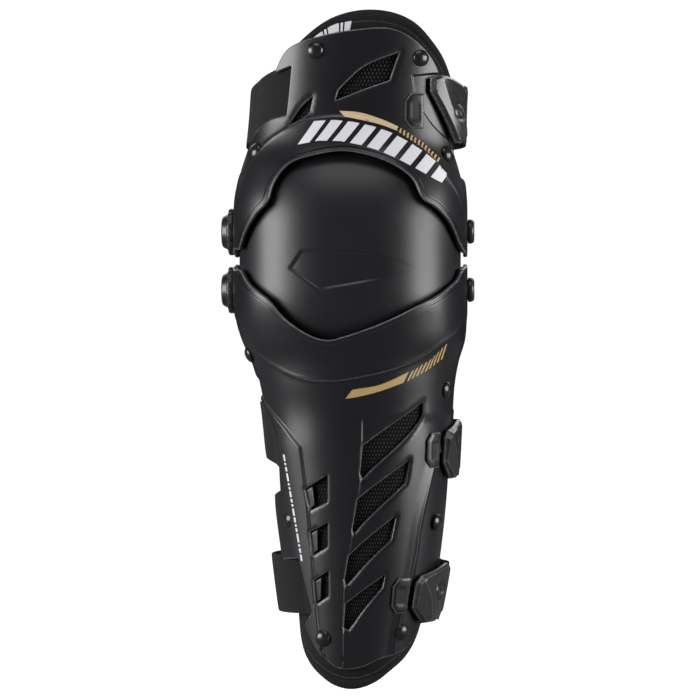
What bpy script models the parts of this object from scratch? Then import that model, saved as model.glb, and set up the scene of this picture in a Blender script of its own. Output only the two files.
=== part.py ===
"""Knee and shin guard for off-road motorcycling, for the left leg.

Three hard shells sit on foam liners: a thigh cuff, a knee cup and a shin shell.
Both outer shells turn on the knee cup, each about its own pair of pivots, so the
guard bends like a knee.  Three elastic straps close behind the leg; each ends in
a hook plate that swings off a catch on the outer side.

Metres, +Z up, the front of the guard faces -Y, the outer side of the leg is +X.
The origin is the middle of the knee: half-way between the upper and the lower
hinge axis, on the guard's middle plane.
"""

import math

import bmesh
import bpy
import numpy as np
from mathutils import Matrix, Vector

# ---------------------------------------------------------------- sizes
PIVOT_SPACING = 0.0404  # upper hinge axis to lower hinge axis
CUFF_HEIGHT = 0.1350  # upper hinge axis to the top of the cuff
SHIN_LENGTH = 0.2570  # lower hinge axis to the lowest point of the shin shell
WALL = 0.0030  # moulded shells
CUP_GAP = 0.0040  # between the cup and the shells that glide over it
FIT = 0.0003  # gap between pieces that touch

CUP_HALF_WIDTH = 0.0770  # to the pole of the cup's side, before its flat is cut
CUP_RADIUS = 0.0760  # front of the cup from either hinge axis
CUP_POWER = 2.5  # squareness of the cup from side to side
CUP_FLAT = 0.0010  # cut off each pole to make the flat that the pivots clamp
CUP_REACH = math.radians(47.0)  # half-angle of the cup above and below its axes

EAR_RADIUS = 0.0178  # rounded end of a shell round its pivot
EAR_STEP = 0.0004  # how far an ear's flat stands out of the shell round it
SHELL_TURN = 117.3  # degrees from the front at which a shell is cut from its blank
SHELL_COLUMNS = 36  # edges of a shell's facets round the leg
SHELL_ROWS = 17  # edges of a shell's facets along the leg
SHELL_BEHIND = 0.0202  # how far a shell's blank runs past its hinge axis, beyond the ear
PIVOT_WASHER = 0.0012  # slip washer between the cup and an ear
BUSH_RADIUS = 0.0050
SCREW_RADIUS = 0.0030
SCREW_HEAD_RADIUS = 0.0070
SCREW_HEAD = 0.0032
SOCKET_RADIUS = 0.0022  # the screw's key socket
SOCKET_DEPTH = 0.0018
EDGE = 0.0007  # chamfer of turned edges
PIVOT_WASHER_RADIUS = 0.0120
KNOB_RADIUS = 0.0163  # the big knobs at the inner side of the knee
KNOB_RIM = 0.0037
KNOB_HEIGHT = 0.0087
CAP_RADIUS = 0.0085  # the low caps at its outer side
CAP_HEIGHT = 0.0045
HEAD_COVER = 0.0018  # thickness of a knob or cap over the end of its screw's hole
SCREW_TIP = 0.0007  # room left between the screw's tip and that cover

LINER = 0.0085  # thickness of the foam liners
LINER_SHY = math.radians(3.0)  # by which the foam in the cup stops short of the cup
STRETCH = 0.0016  # thickness of the stretch fabric between the liners
STRETCH_WIDTH = 0.0740
STRETCH_TURN = math.radians(5.0)
STRAP_WIDTH = 0.0400
STRAP = 0.0016  # thickness of the elastic webbing
TAIL_LENGTH = 0.0250  # sewn end of the webbing that the hook plate carries
CLIP_LENGTH = 0.0400
CLIP_WIDTH = 0.0400
CLIP = 0.0040  # thickness of the hook plate
CLIP_LIFT = 0.0010  # underside of the hook plate above the shell
CATCH_LENGTH = 0.0130
CATCH_WIDTH = 0.0240
CATCH = 0.0040
CATCH_GAP = 0.0030  # room for the hook plate's nose to turn
# Along a plate or catch, from its end nearest the front: share of its length, then
# share of its full width or thickness there.
CLIP_OUTLINE = ((0.0, 0.25, 0.875, 1.0), (0.55, 0.96, 1.0, 0.94))
CLIP_CROWN = ((0.0, 0.125, 0.375, 1.0), (0.55, 0.9, 1.0, 0.75))
CATCH_OUTLINE = ((0.0, 0.75, 1.0), (0.55, 1.0, 1.0))
CATCH_CROWN = ((0.0, 0.25, 1.0), (0.35, 0.85, 1.0))
TUCK = (245.0, 275.0)  # degrees round the leg over which a strap goes in under its shell

RIVET_RADIUS = 0.0057
RIVET_DOME = 0.0022
RIVET_SHANK = 0.0022
RIVET_WASHER_RADIUS = 0.0055
RIVET_WASHER = 0.0010
RIVET_TAIL = 0.0008
RIVET_SPREAD = 0.0012  # how far the tail is spread beyond the shank
RIVET_RIM = 0.0004  # straight edge below a rivet's dome

ROUND = 20  # sides of a pivot's round pieces
SMALL_ROUND = 10  # sides of a rivet

# ---------------------------------------------------------------- what follows
UPPER_AXIS = PIVOT_SPACING / 2
LOWER_AXIS = -PIVOT_SPACING / 2
CUFF_TOP = UPPER_AXIS + CUFF_HEIGHT
SHIN_FOOT = LOWER_AXIS - SHIN_LENGTH
CUP_FACE = CUP_HALF_WIDTH - CUP_FLAT
EAR_INNER = CUP_FACE + PIVOT_WASHER + 2 * FIT
EAR_OUTER = EAR_INNER + WALL
EAR_RIM = 0.0009  # by which an ear's ring stands past the wall, and laps over it
KNOB_BASE = EAR_OUTER + FIT
SHELL_RADIUS = CUP_RADIUS + WALL + CUP_GAP  # front of both shells where they pass over the cup
UNDER_SHELL = -WALL - FIT  # lift of a piece that touches the shell's inside
LINER_LIFT = UNDER_SHELL - STRAP - 4 * FIT  # outside of the liners
BEYOND = 3 * SHELL_RADIUS + SHIN_LENGTH  # reach of a cutter that passes right through the guard
CUT = 0.0200  # reach of a cutter past a single wall

# Sections of the two outer shells.  Each row holds its place, then how much narrower
# and flatter than at the knee the section is, how far it has moved outwards, how deep
# the leg is behind the middle plane, and the squareness of the section.  A place is
# measured along the leg, here and in every table below: from 0 to 1 it is a share of
# the cup's radius beyond the hinge axis, and from 1 to 2 a share of the rest of the way
# to the shell's far end.
SHIN_SECTIONS = (
    (0.0000, 0.0002, 0.0000, 0.0000, 0.069, 2.6),
    (0.1355, 0.0003, 0.0000, 0.0000, 0.068, 2.6),
    (0.2816, 0.0006, 0.0025, 0.0006, 0.067, 2.55),
    (0.4632, 0.0032, 0.0060, 0.0020, 0.065, 2.5),
    (0.6461, 0.0083, 0.0095, 0.0030, 0.064, 2.4),
    (0.8645, 0.0123, 0.0120, 0.0040, 0.064, 2.35),
    (1.0199, 0.0143, 0.0145, 0.0050, 0.065, 2.3),
    (1.1884, 0.0168, 0.0175, 0.0060, 0.066, 2.3),
    (1.4028, 0.0208, 0.0205, 0.0075, 0.060, 2.3),
    (1.6785, 0.0268, 0.0240, 0.0075, 0.050, 2.3),
    (1.9083, 0.0338, 0.0270, 0.0060, 0.044, 2.3),
    (2.1227, 0.0408, 0.0300, 0.0040, 0.042, 2.3),
)
CUFF_SECTIONS = (
    (0.0000, 0.0000, 0.0000, 0.0000, 0.070, 2.6),
    (0.2658, -0.0003, 0.0040, 0.0000, 0.070, 2.55),
    (0.5306, 0.0023, 0.0120, 0.0010, 0.071, 2.5),
    (0.7349, 0.0043, 0.0190, 0.0020, 0.072, 2.4),
    (0.9186, 0.0053, 0.0215, 0.0030, 0.073, 2.35),
    (1.2369, 0.0058, 0.0225, 0.0040, 0.075, 2.3),
    (1.7369, 0.0058, 0.0220, 0.0060, 0.078, 2.3),
    (2.2102, 0.0058, 0.0205, 0.0080, 0.080, 2.3),
)

# Fronts of the two shells: x, and the place along the leg.
CUFF_FRONT = (
    (-0.0950, -0.3026),
    (-0.0780, -0.3026),
    (-0.0740, -0.1855),
    (-0.0692, -0.0289),
    (-0.0618, 0.1184),
    (-0.0533, 0.2382),
    (-0.0500, 0.3816),
    (-0.0447, 0.4974),
    (-0.0379, 0.5763),
    (-0.0243, 0.6368),
    (-0.0020, 0.6789),
    (0.0196, 0.6237),
    (0.0364, 0.5263),
    (0.0458, 0.4211),
    (0.0525, 0.2526),
    (0.0604, 0.1855),
    (0.0697, 0.0566),
    (0.0763, -0.1158),
    (0.0800, -0.3026),
    (0.0950, -0.3026),
    (0.0950, 0.3816),
    (0.0768, 0.4500),
    (0.0707, 0.7592),
    (0.0628, 1.4831),
    (0.0552, 1.7254),
    (0.0421, 1.9153),
    (0.0295, 1.9949),
    (0.0106, 1.9881),
    (-0.0172, 1.9153),
    (-0.0401, 1.7881),
    (-0.0443, 1.7136),
    (-0.0501, 1.5119),
    (-0.0380, 1.5797),
    (-0.0414, 1.0186),
    (-0.0536, 0.9776),
    (-0.0668, 0.8132),
    (-0.0749, 0.5263),
    (-0.0950, 0.4342),
)
SHIN_FRONT = (
    (-0.0950, -0.3026),
    (-0.0780, -0.3026),
    (-0.0732, -0.1658),
    (-0.0669, -0.0474),
    (-0.0595, 0.0355),
    (-0.0530, 0.0987),
    (-0.0392, 0.2947),
    (-0.0195, 0.4447),
    (-0.0101, 0.4618),
    (-0.0020, 0.4355),
    (0.0235, 0.3211),
    (0.0526, 0.1355),
    (0.0605, 0.0816),
    (0.0697, -0.0105),
    (0.0776, -0.1224),
    (0.0810, -0.3026),
    (0.0950, -0.3026),
    (0.0950, 1.7956),
    (0.0490, 1.8094),
    (0.0475, 1.8906),
    (0.0390, 1.9376),
    (0.0237, 1.9657),
    (0.0080, 2.0000),
    (-0.0081, 1.9961),
    (-0.0199, 1.9354),
    (-0.0284, 1.8448),
    (-0.0232, 1.7928),
    (-0.0323, 1.5923),
    (-0.0448, 1.6083),
    (-0.0494, 1.4188),
    (-0.0498, 1.3591),
    (-0.0452, 1.3392),
    (-0.0470, 1.1873),
    (-0.0498, 1.1127),
    (-0.0593, 1.0011),
    (-0.0619, 0.8211),
    (-0.0800, 0.5263),
    (-0.0950, 0.3947),
)
# Rear edges seen from the side, from the ear onwards: y, and the place along the leg.
CUFF_REAR = ((0.0140, 0.1974), (0.0040, 0.3553), (-0.0100, 0.4737), (-0.0220, 0.6316), (-0.0300, 0.8421))
SHIN_REAR = ((0.0140, 0.3158), (0.0070, 0.7368), (0.0000, 1.0773), (-0.0020, 1.3536), (-0.0060, 1.6298))

# Vents through the shells: corners in x, and the place along the leg.
CUFF_VENTS = (
    (
        (-0.0077, 1.1763),
        (-0.0056, 1.2898),
        (0.0011, 1.4034),
        (0.0126, 1.5627),
        (0.0361, 1.7254),
        (0.0294, 1.4034),
    ),
    ((-0.0399, 0.9237), (-0.0316, 1.1034), (-0.0233, 1.2254), (-0.0254, 1.0424), (-0.0302, 0.9816)),
)
SHIN_VENTS = (
    ((0.0115, 1.1674), (0.0522, 1.0050), (0.0521, 1.0536), (0.0501, 1.0762), (0.0114, 1.2867)),
    ((0.0073, 1.3691), (0.0435, 1.2210), (0.0408, 1.3066), (0.0052, 1.4923)),
    ((0.0011, 1.5785), (0.0341, 1.4293), (0.0307, 1.5188), (-0.0003, 1.6867)),
    ((-0.0010, 1.7586), (0.0260, 1.6536), (0.0246, 1.6983), (0.0009, 1.8558)),
    ((-0.0283, 1.3304), (-0.0129, 1.2762), (-0.0130, 1.3773), (-0.0249, 1.4088)),
    ((-0.0250, 1.4917), (-0.0131, 1.4558), (-0.0132, 1.5459), (-0.0230, 1.5779)),
    ((-0.0224, 1.6718), (-0.0126, 1.6359), (-0.0127, 1.7298), (-0.0211, 1.7619)),
)

# Rivets: x, and the place along the leg.
CUFF_RIVETS = ((-0.0213, 1.7508), (0.0501, 1.6644), (-0.0631, 0.7053), (0.0676, 0.6724))
SHIN_RIVETS = (
    (-0.0680, 0.5947),
    (0.0666, 0.9092),
    (-0.0400, 1.4525),
    (0.0600, 1.4608),
    (-0.0165, 1.8906),
    (0.0370, 1.8680),
)

# Edges of the liners near the knee and far from it: degrees round the leg, and the
# place along it.  The near edges are alike on both sides.
THIGH_LINER_NEAR = ((0, 0.790), (45, 0.737), (80, 0.553), (108, 0.526))
THIGH_LINER_FAR = (
    (-108, 1.0678),
    (-80, 1.2712),
    (-55, 1.4915),
    (-35, 1.8136),
    (-12, 2.1186),
    (8, 2.2034),
    (28, 2.1017),
    (50, 1.8136),
    (78, 1.3729),
    (108, 1.0678),
)
SHIN_LINER_NEAR = ((0, 0.750), (45, 0.684), (80, 0.579), (100, 0.605))
SHIN_LINER_FAR = (
    (-100, 1.7680),
    (-80, 1.9061),
    (-60, 1.9669),
    (-40, 2.0110),
    (-20, 2.0552),
    (0, 2.0773),
    (20, 2.0552),
    (40, 2.0110),
    (60, 1.9669),
    (80, 1.9061),
    (100, 1.7680),
)

# Straps: where the webbing comes out from under the shell and where the hook plate's
# nose lies, as angles round the leg from the front, and the place of the webbing's
# middle at the shell, behind the leg and at the plate.
STRAPS = {
    "thigh": {"start": -34.0, "nose": 39.5, "heights": (1.2797, 1.1017, 1.0593)},
    "upper_calf": {"start": -40.0, "nose": 62.0, "heights": (1.1768, 1.1823, 1.1878)},
    "lower_calf": {"start": -30.0, "nose": 41.0, "heights": (1.6906, 1.7127, 1.7293)},
}

# ---------------------------------------------------------------- finishes
FINISHES = {
    "shell": ((0.016, 0.016, 0.018, 1.0), 0.38, 0.0),
    "cup": ((0.020, 0.020, 0.024, 1.0), 0.30, 0.0),
    "liner": ((0.012, 0.012, 0.013, 1.0), 0.92, 0.0),
    "webbing": ((0.010, 0.010, 0.011, 1.0), 0.88, 0.0),
    "fitting": ((0.020, 0.020, 0.022, 1.0), 0.45, 0.0),
    "metal": ((0.080, 0.080, 0.085, 1.0), 0.35, 0.9),
    "slip": ((0.620, 0.620, 0.600, 1.0), 0.50, 0.0),
}


def finish(name):
    """The Principled material of that finish, made once."""
    if name in bpy.data.materials:
        return bpy.data.materials[name]
    colour, roughness, metallic = FINISHES[name]
    material = bpy.data.materials.new(name)
    material.use_nodes = True
    shader = material.node_tree.nodes["Principled BSDF"]
    shader.inputs["Base Color"].default_value = colour
    shader.inputs["Roughness"].default_value = roughness
    shader.inputs["Metallic"].default_value = metallic
    return material


# ---------------------------------------------------------------- meshes
def mesh_of(name, points, faces):
    """A mesh with its faces turned outwards."""
    mesh = bpy.data.meshes.new(name)
    mesh.from_pydata([tuple(map(float, p)) for p in points], [], faces)
    shape = bmesh.new()
    shape.from_mesh(mesh)
    bmesh.ops.recalc_face_normals(shape, faces=shape.faces)
    shape.to_mesh(mesh)
    shape.free()
    return mesh


def joined(name, meshes):
    """Several closed meshes as one mesh of separate bodies, for use as one cutter."""
    shape = bmesh.new()
    for mesh in meshes:
        shape.from_mesh(mesh)
    result = bpy.data.meshes.new(name)
    shape.to_mesh(result)
    shape.free()
    return result


def add(name, mesh, finish_name, matrix=None, parent=None):
    """A sub-part in the scene, smooth where it is round."""
    part = bpy.data.objects.new(name, mesh)
    bpy.context.collection.objects.link(part)
    if parent is not None:
        part.parent = parent
        part.matrix_parent_inverse = parent.matrix_world.inverted()
    if matrix is not None:
        part.matrix_world = matrix
    if not mesh.materials:
        mesh.materials.append(finish(finish_name))
    mesh.shade_smooth()
    mesh.set_sharp_from_angle(angle=math.radians(35))
    return part


def cutter(name, mesh):
    """An object that only shapes others."""
    tool = bpy.data.objects.new(name, mesh)
    bpy.context.collection.objects.link(tool)
    tool.hide_render = True
    tool.display_type = "WIRE"
    return tool


def combine(part, operation, tool):
    """Add a Boolean to the part."""
    modifier = part.modifiers.new(operation.title(), "BOOLEAN")
    modifier.operation = operation
    modifier.solver = "EXACT"
    modifier.object = tool


def grid_solid(name, outer, inner):
    """A closed wall between two grids of points of the same size."""
    rows, columns = outer.shape[:2]
    points = np.concatenate([outer.reshape(-1, 3), inner.reshape(-1, 3)])
    below = rows * columns
    index = np.arange(below).reshape(rows, columns)
    faces = []
    for i in range(rows - 1):
        for j in range(columns - 1):
            quad = [index[i, j], index[i, j + 1], index[i + 1, j + 1], index[i + 1, j]]
            faces.append([int(k) for k in quad])
            faces.append([int(k) + below for k in reversed(quad)])
    rim = [*index[0, :], *index[1:, -1], *index[-1, -2::-1], *index[-2:0:-1, 0]]
    for a, b in zip(rim, rim[1:] + rim[:1]):
        faces.append([int(b), int(a), int(a) + below, int(b) + below])
    return mesh_of(name, points, faces)


def prism(name, outline, axis, start, end):
    """An outline given in the two other directions, extruded along X or Y."""
    count = len(outline)
    if axis == "X":
        points = [(start, a, b) for a, b in outline] + [(end, a, b) for a, b in outline]
    else:
        points = [(a, start, b) for a, b in outline] + [(a, end, b) for a, b in outline]
    faces = [list(range(count)), list(range(2 * count - 1, count - 1, -1))]
    faces += [[i, (i + 1) % count, (i + 1) % count + count, i + count] for i in range(count)]
    return mesh_of(name, points, faces)


def turned(name, profile, sides):
    """A profile of radius and height turned about Z; a first or last radius of 0 is a tip."""
    angles = np.arange(sides) * 2 * math.pi / sides
    points, rings = [], []
    for radius, height in profile:
        first = len(points)
        if radius == 0:
            points.append((0.0, 0.0, height))
            rings.append([first] * sides)
        else:
            points += [(radius * math.cos(a), radius * math.sin(a), height) for a in angles]
            rings.append(list(range(first, first + sides)))
    faces = []
    pairs = list(zip(rings, rings[1:]))
    if profile[0][0] != 0 and profile[-1][0] != 0 and profile[0] != profile[-1]:
        pairs.append((rings[-1], rings[0]))
    for low, high in pairs:
        for i in range(sides):
            j = (i + 1) % sides
            face = [low[i], low[j], high[j], high[i]]
            faces.append(list(dict.fromkeys(face)))
    return mesh_of(name, points, faces)


# ---------------------------------------------------------------- surfaces
class Skin:
    """Outer surface of one shell and of the leg behind it: a stack of superellipses."""

    def __init__(self, axis, length, sections):
        place, narrowing, flattening, shift, rear, power = np.array(sections).T
        self.axis = axis
        self.length = length
        self.places = self.distance(place)
        half_width = EAR_OUTER - EAR_STEP - narrowing
        self.columns = np.stack([half_width, SHELL_RADIUS - flattening, shift, rear, power], axis=1)
        self.slopes = np.gradient(self.columns, self.places, axis=0)

    def distance(self, place):
        """How far a place along the leg is from the hinge axis."""
        place = np.asarray(place, float)
        return np.where(place < 1, place * CUP_RADIUS, CUP_RADIUS + (place - 1) * (self.length - CUP_RADIUS))

    def height(self, place):
        """z of a place along the leg."""
        return self.axis + math.copysign(1, self.axis) * self.distance(place)

    def flat(self, outline):
        """Corners in x and a place as corners in x and z."""
        return [(x, float(self.height(place))) for x, place in outline]

    def section(self, z):
        """Half width, front depth, shift, rear depth and squareness, smooth through the rows."""
        way = math.copysign(1, self.axis)
        t = np.clip(way * (np.asarray(z, float) - self.axis), self.places[0], self.places[-1])
        i = np.clip(np.searchsorted(self.places, t) - 1, 0, len(self.places) - 2)
        step = (self.places[i + 1] - self.places[i])[..., None]
        u = ((t - self.places[i])[..., None]) / step
        start, end = self.columns[i], self.columns[i + 1]
        rise, fall = self.slopes[i] * step, self.slopes[i + 1] * step
        value = (1 + 2 * u) * (1 - u) ** 2 * start + u * (1 - u) ** 2 * rise
        value += u * u * (3 - 2 * u) * end + u * u * (u - 1) * fall
        return np.moveaxis(value, -1, 0)

    def point(self, angle, z, lift=0.0):
        """Points at an angle round the leg, 0 at the front and +90 degrees at +X."""
        angle, z, lift = np.broadcast_arrays(angle, z, lift)
        half, front, shift, rear, power = self.section(z)
        s, c = np.sin(angle), np.cos(angle)
        x = shift + (half + lift) * np.sign(s) * np.abs(s) ** (2 / power)
        depth = np.where(c > 0, front, rear) + lift
        y = -depth * np.sign(c) * np.abs(c) ** (2 / power)
        return np.stack([x, y, z], axis=-1)

    def angle_at(self, x, z):
        """The angle on the front half where the surface has that x."""
        half, _, shift, _, power = self.section(z)
        share = (x - shift) / half
        return math.asin(math.copysign(min(abs(share), 1.0) ** (power / 2), share))

    def frame(self, angle, z, lift=0.0):
        """A matrix whose Z is the surface's outward normal there and whose Y points up it."""
        small = 1e-4
        around = Vector(self.point(angle + small, z) - self.point(angle - small, z)).normalized()
        up = Vector(self.point(angle, z + small) - self.point(angle, z - small)).normalized()
        out = around.cross(up).normalized()
        up = out.cross(around)
        place = Vector(self.point(angle, z)) + out * lift
        return Matrix((
            (around.x, up.x, out.x, place.x),
            (around.y, up.y, out.y, place.y),
            (around.z, up.z, out.z, place.z),
            (0, 0, 0, 1),
        ))

    def angle_after(self, angle, z, distance):
        """The angle that lies a distance further round the leg at that height."""
        steps = np.linspace(0, math.copysign(math.radians(120), distance), 400)
        places = self.point(angle + steps, z)
        walked = np.concatenate([[0], np.cumsum(np.linalg.norm(np.diff(places, axis=0), axis=1))])
        return angle + float(np.interp(abs(distance), walked, steps))


cuff_skin = Skin(UPPER_AXIS, CUFF_HEIGHT, CUFF_SECTIONS)
shin_skin = Skin(LOWER_AXIS, SHIN_LENGTH, SHIN_SECTIONS)


def patch(name, skin, angles, low, high, under, over, rows):
    """A closed piece on a skin between two heights and two lifts, which may vary by angle."""
    share = np.linspace(0, 1, rows)[:, None]
    low = np.broadcast_to(low, angles.shape)
    high = np.broadcast_to(high, angles.shape)
    heights = low * (1 - share) + high * share
    outer = skin.point(angles[None, :], heights, np.broadcast_to(over, angles.shape)[None, :])
    inner = skin.point(angles[None, :], heights, np.broadcast_to(under, angles.shape)[None, :])
    return grid_solid(name, outer, inner)


def arc(y, z, radius, start, end, steps):
    """Points of an arc seen from the side; 0 degrees is towards +Y."""
    turn = np.radians(np.linspace(start, end, steps))
    return [(y + radius * math.cos(a), z + radius * math.sin(a)) for a in turn]


def stadium(name, half, radius, power, face):
    """The knee cup's solid form: round about both hinge axes, straight between them.

    Across the guard the radius follows a superellipse, cut off flat at each side.
    """
    stations, ring = 21, 26  # across the guard, and round each of its sections
    quarter = np.linspace(-1, 1, stations)
    x = face * np.sin(quarter * math.pi / 2)
    radii = radius * (1 - (np.abs(x) / half) ** power) ** (1 / power)
    half_ring = ring // 2
    turn = np.radians(np.concatenate([np.linspace(0, 180, half_ring), np.linspace(180, 360, half_ring)]))
    centre = np.where(np.arange(ring) < half_ring, UPPER_AXIS, LOWER_AXIS)
    points = np.stack(
        [
            np.broadcast_to(x[:, None], (len(x), ring)),
            radii[:, None] * np.cos(turn)[None, :],
            centre[None, :] + radii[:, None] * np.sin(turn)[None, :],
        ],
        axis=-1,
    )
    last = (stations - 1) * ring
    faces = [list(range(ring)), list(range(last + ring - 1, last - 1, -1))]
    for i in range(stations - 1):
        for j in range(ring):
            k = (j + 1) % ring
            faces.append([i * ring + j, (i + 1) * ring + j, (i + 1) * ring + k, i * ring + k])
    return mesh_of(name, points.reshape(-1, 3), faces)


# ---------------------------------------------------------------- shells
def both_sides(name, shape, z):
    """A shape turned about Z, laid along X on a hinge axis at both sides of the guard."""
    copies = []
    for side in (-1, 1):
        copy = shape.copy()
        copy.transform(Matrix.Translation((0, 0, z)) @ Matrix.Rotation(side * math.pi / 2, 4, "Y"))
        copies.append(copy)
    return joined(name, copies)


def across(name, radius, low, high, z, sides=ROUND):
    """A round bar along X on a hinge axis, at both sides of the guard."""
    bar = turned(name, ((0, low), (radius, low), (radius, high), (0, high)), sides)
    return both_sides(name, bar, z)


def through(skin, places, radius):
    """Round bars through the shell where its rivets go."""
    bar = turned("rivet_hole", ((0, -CUT), (radius, -CUT), (radius, CUT), (0, CUT)), SMALL_ROUND)
    bars = []
    for x, z in skin.flat(places):
        copy = bar.copy()
        copy.transform(skin.frame(skin.angle_at(x, z), z))
        bars.append(copy)
    return bars


def ears(axis):
    """The two flat rings by which a shell turns on its pivots."""
    ring = turned(
        "ear",
        (
            (BUSH_RADIUS + FIT, EAR_INNER),
            (EAR_RADIUS, EAR_INNER),
            (EAR_RADIUS, EAR_OUTER),
            (BUSH_RADIUS + FIT, EAR_OUTER),
        ),
        ROUND,
    )
    return both_sides("ears", ring, axis)


def shell(name, skin, far, front, rear, vents, rivets):
    """An outer shell: a wall cut to its outlines, then ears, rivet holes and vents."""
    axis = skin.axis
    way = math.copysign(1, axis)
    angles = np.radians(np.linspace(-SHELL_TURN, SHELL_TURN, SHELL_COLUMNS))
    near = axis - way * SHELL_BEHIND
    wall = patch(name, skin, angles, min(near, far), max(near, far), -WALL, 0.0, SHELL_ROWS)
    part = add(name, wall, "shell")
    outline = prism(name + "_front", skin.flat(front), "Y", -BEYOND, BEYOND)
    combine(part, "INTERSECT", cutter(name + "_front", outline))
    inside_ear = EAR_RADIUS - EAR_RIM
    side = [(-BEYOND, axis + way * BEYOND), (-BEYOND, axis - way * inside_ear)]
    side += [(y, axis + way * z) for y, z in arc(0, 0, inside_ear, -90, 0, 9)]
    side += skin.flat(rear) + [(rear[-1][0], axis + way * BEYOND)]
    combine(part, "INTERSECT", cutter(name + "_side", prism(name + "_side", side, "X", -BEYOND, BEYOND)))
    seat = across(name + "_seat", inside_ear - EAR_RIM, EAR_INNER - CUT, EAR_OUTER + CUT, axis, ROUND - 1)
    combine(part, "DIFFERENCE", cutter(name + "_seat", seat))
    combine(part, "UNION", cutter(name + "_ears", ears(axis)))
    holes = through(skin, rivets, RIVET_SHANK + FIT)
    combine(part, "DIFFERENCE", cutter(name + "_rivet_holes", joined(name + "_rivet_holes", holes)))
    slots = [prism("vent", skin.flat(vent), "Y", -BEYOND, -CUT) for vent in vents]
    combine(part, "DIFFERENCE", cutter(name + "_vents", joined(name + "_vents", slots)))
    return part


def cup():
    """The knee cup: a wall between two such forms, cut to the link plates and the front."""
    part = add("knee_cup", stadium("knee_cup", CUP_HALF_WIDTH, CUP_RADIUS, CUP_POWER, CUP_FACE), "cup")
    side = arc(0, UPPER_AXIS, EAR_RADIUS, 0, 108, 9)
    edge = np.array((-CUP_RADIUS * math.cos(CUP_REACH), UPPER_AXIS + CUP_RADIUS * math.sin(CUP_REACH)))
    side += [tuple(2 * edge - side[-1])]
    side += [(y, -z) for y, z in reversed(side)]
    combine(part, "INTERSECT", cutter("cup_side", prism("cup_side", side, "X", -BEYOND, BEYOND)))
    inner = stadium("cup_hollow", CUP_HALF_WIDTH - WALL, CUP_RADIUS - WALL, CUP_POWER, CUP_FACE - WALL)
    combine(part, "DIFFERENCE", cutter("cup_hollow", inner))
    holes = [
        across("cup_holes", SCREW_RADIUS + FIT, CUP_FACE - WALL - CUT, CUP_FACE + CUT, axis)
        for axis in (UPPER_AXIS, LOWER_AXIS)
    ]
    combine(part, "DIFFERENCE", cutter("cup_holes", joined("cup_holes", holes)))
    return part


# ---------------------------------------------------------------- liners
def knee_liner():
    """The foam inside the cup, a thinner form of the same kind over the front only."""
    outside = WALL + 2 * FIT
    inside = outside + LINER
    part = add(
        "knee_liner",
        stadium("knee_liner", CUP_HALF_WIDTH - outside, CUP_RADIUS - outside, CUP_POWER, CUP_FACE - outside),
        "liner",
    )
    reach = CUP_REACH - LINER_SHY
    back = 0.024  # the foam ends this far in front of the hinge axes
    far = 2 * CUP_RADIUS
    side = [(-back, UPPER_AXIS + back * math.tan(reach))]
    side += [(-far, UPPER_AXIS + far * math.tan(reach))]
    side += [(y, -z) for y, z in reversed(side)]
    combine(part, "INTERSECT", cutter("liner_side", prism("liner_side", side, "X", -BEYOND, BEYOND)))
    hollow = stadium(
        "liner_hollow", CUP_HALF_WIDTH - inside, CUP_RADIUS - inside, CUP_POWER, CUP_FACE - inside
    )
    combine(part, "DIFFERENCE", cutter("liner_hollow", hollow))
    return part


def outer_liner(name, skin, edge_in, edge_out, rows):
    """The foam inside an outer shell, between an edge near the knee and one far from it."""
    reach = edge_in[-1][0]
    angles = np.radians(np.linspace(-reach, reach, 23))
    turn = np.abs(np.degrees(angles))
    near = skin.height(np.interp(turn, *zip(*edge_in)))
    away = skin.height(np.interp(np.degrees(angles), *zip(*edge_out)))
    low, high = np.minimum(near, away), np.maximum(near, away)
    under = LINER_LIFT - LINER
    return add(name, patch(name, skin, angles, low, high, under, LINER_LIFT, rows), "liner")


def stretch_panel(name, upper, parent):
    """The thin stretch fabric that closes the gap between two liners."""
    way = 1 if upper else -1
    axis = UPPER_AXIS if upper else LOWER_AXIS
    depth = WALL + LINER / 2
    x = np.linspace(-STRETCH_WIDTH / 2, STRETCH_WIDTH / 2, 15)
    share = np.abs(x) / (CUP_HALF_WIDTH - depth)
    radius = (CUP_RADIUS - depth) * (1 - share**CUP_POWER) ** (1 / CUP_POWER)
    start = CUP_REACH - LINER_SHY + 2 * FIT / CUP_RADIUS
    turns = np.linspace(start, start + STRETCH_TURN, 3)
    layers = []
    for lift in (STRETCH / 2, -STRETCH / 2):
        y = -(radius + lift)[None, :] * np.cos(turns)[:, None]
        z = axis + way * (radius + lift)[None, :] * np.sin(turns)[:, None]
        layers.append(np.stack([np.broadcast_to(x, y.shape), y, z], axis=-1))
    return add(name, grid_solid(name, *layers), "liner", parent=parent)


# ---------------------------------------------------------------- pivots
KNOB_EDGE = (
    (KNOB_RADIUS - EDGE, 0.0),
    (KNOB_RADIUS, EDGE),
    (KNOB_RADIUS, KNOB_RIM - EDGE),
    (KNOB_RADIUS - EDGE, KNOB_RIM),
    (0.82 * KNOB_RADIUS, KNOB_RIM + EDGE / 2),
    (0.68 * KNOB_RADIUS, KNOB_HEIGHT - 2 * EDGE),
    (0.45 * KNOB_RADIUS, KNOB_HEIGHT),
)
CAP_EDGE = (
    (CAP_RADIUS - EDGE, 0.0),
    (CAP_RADIUS, EDGE),
    (CAP_RADIUS, CAP_HEIGHT / 2),
    (0.75 * CAP_RADIUS, CAP_HEIGHT),
)


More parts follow.
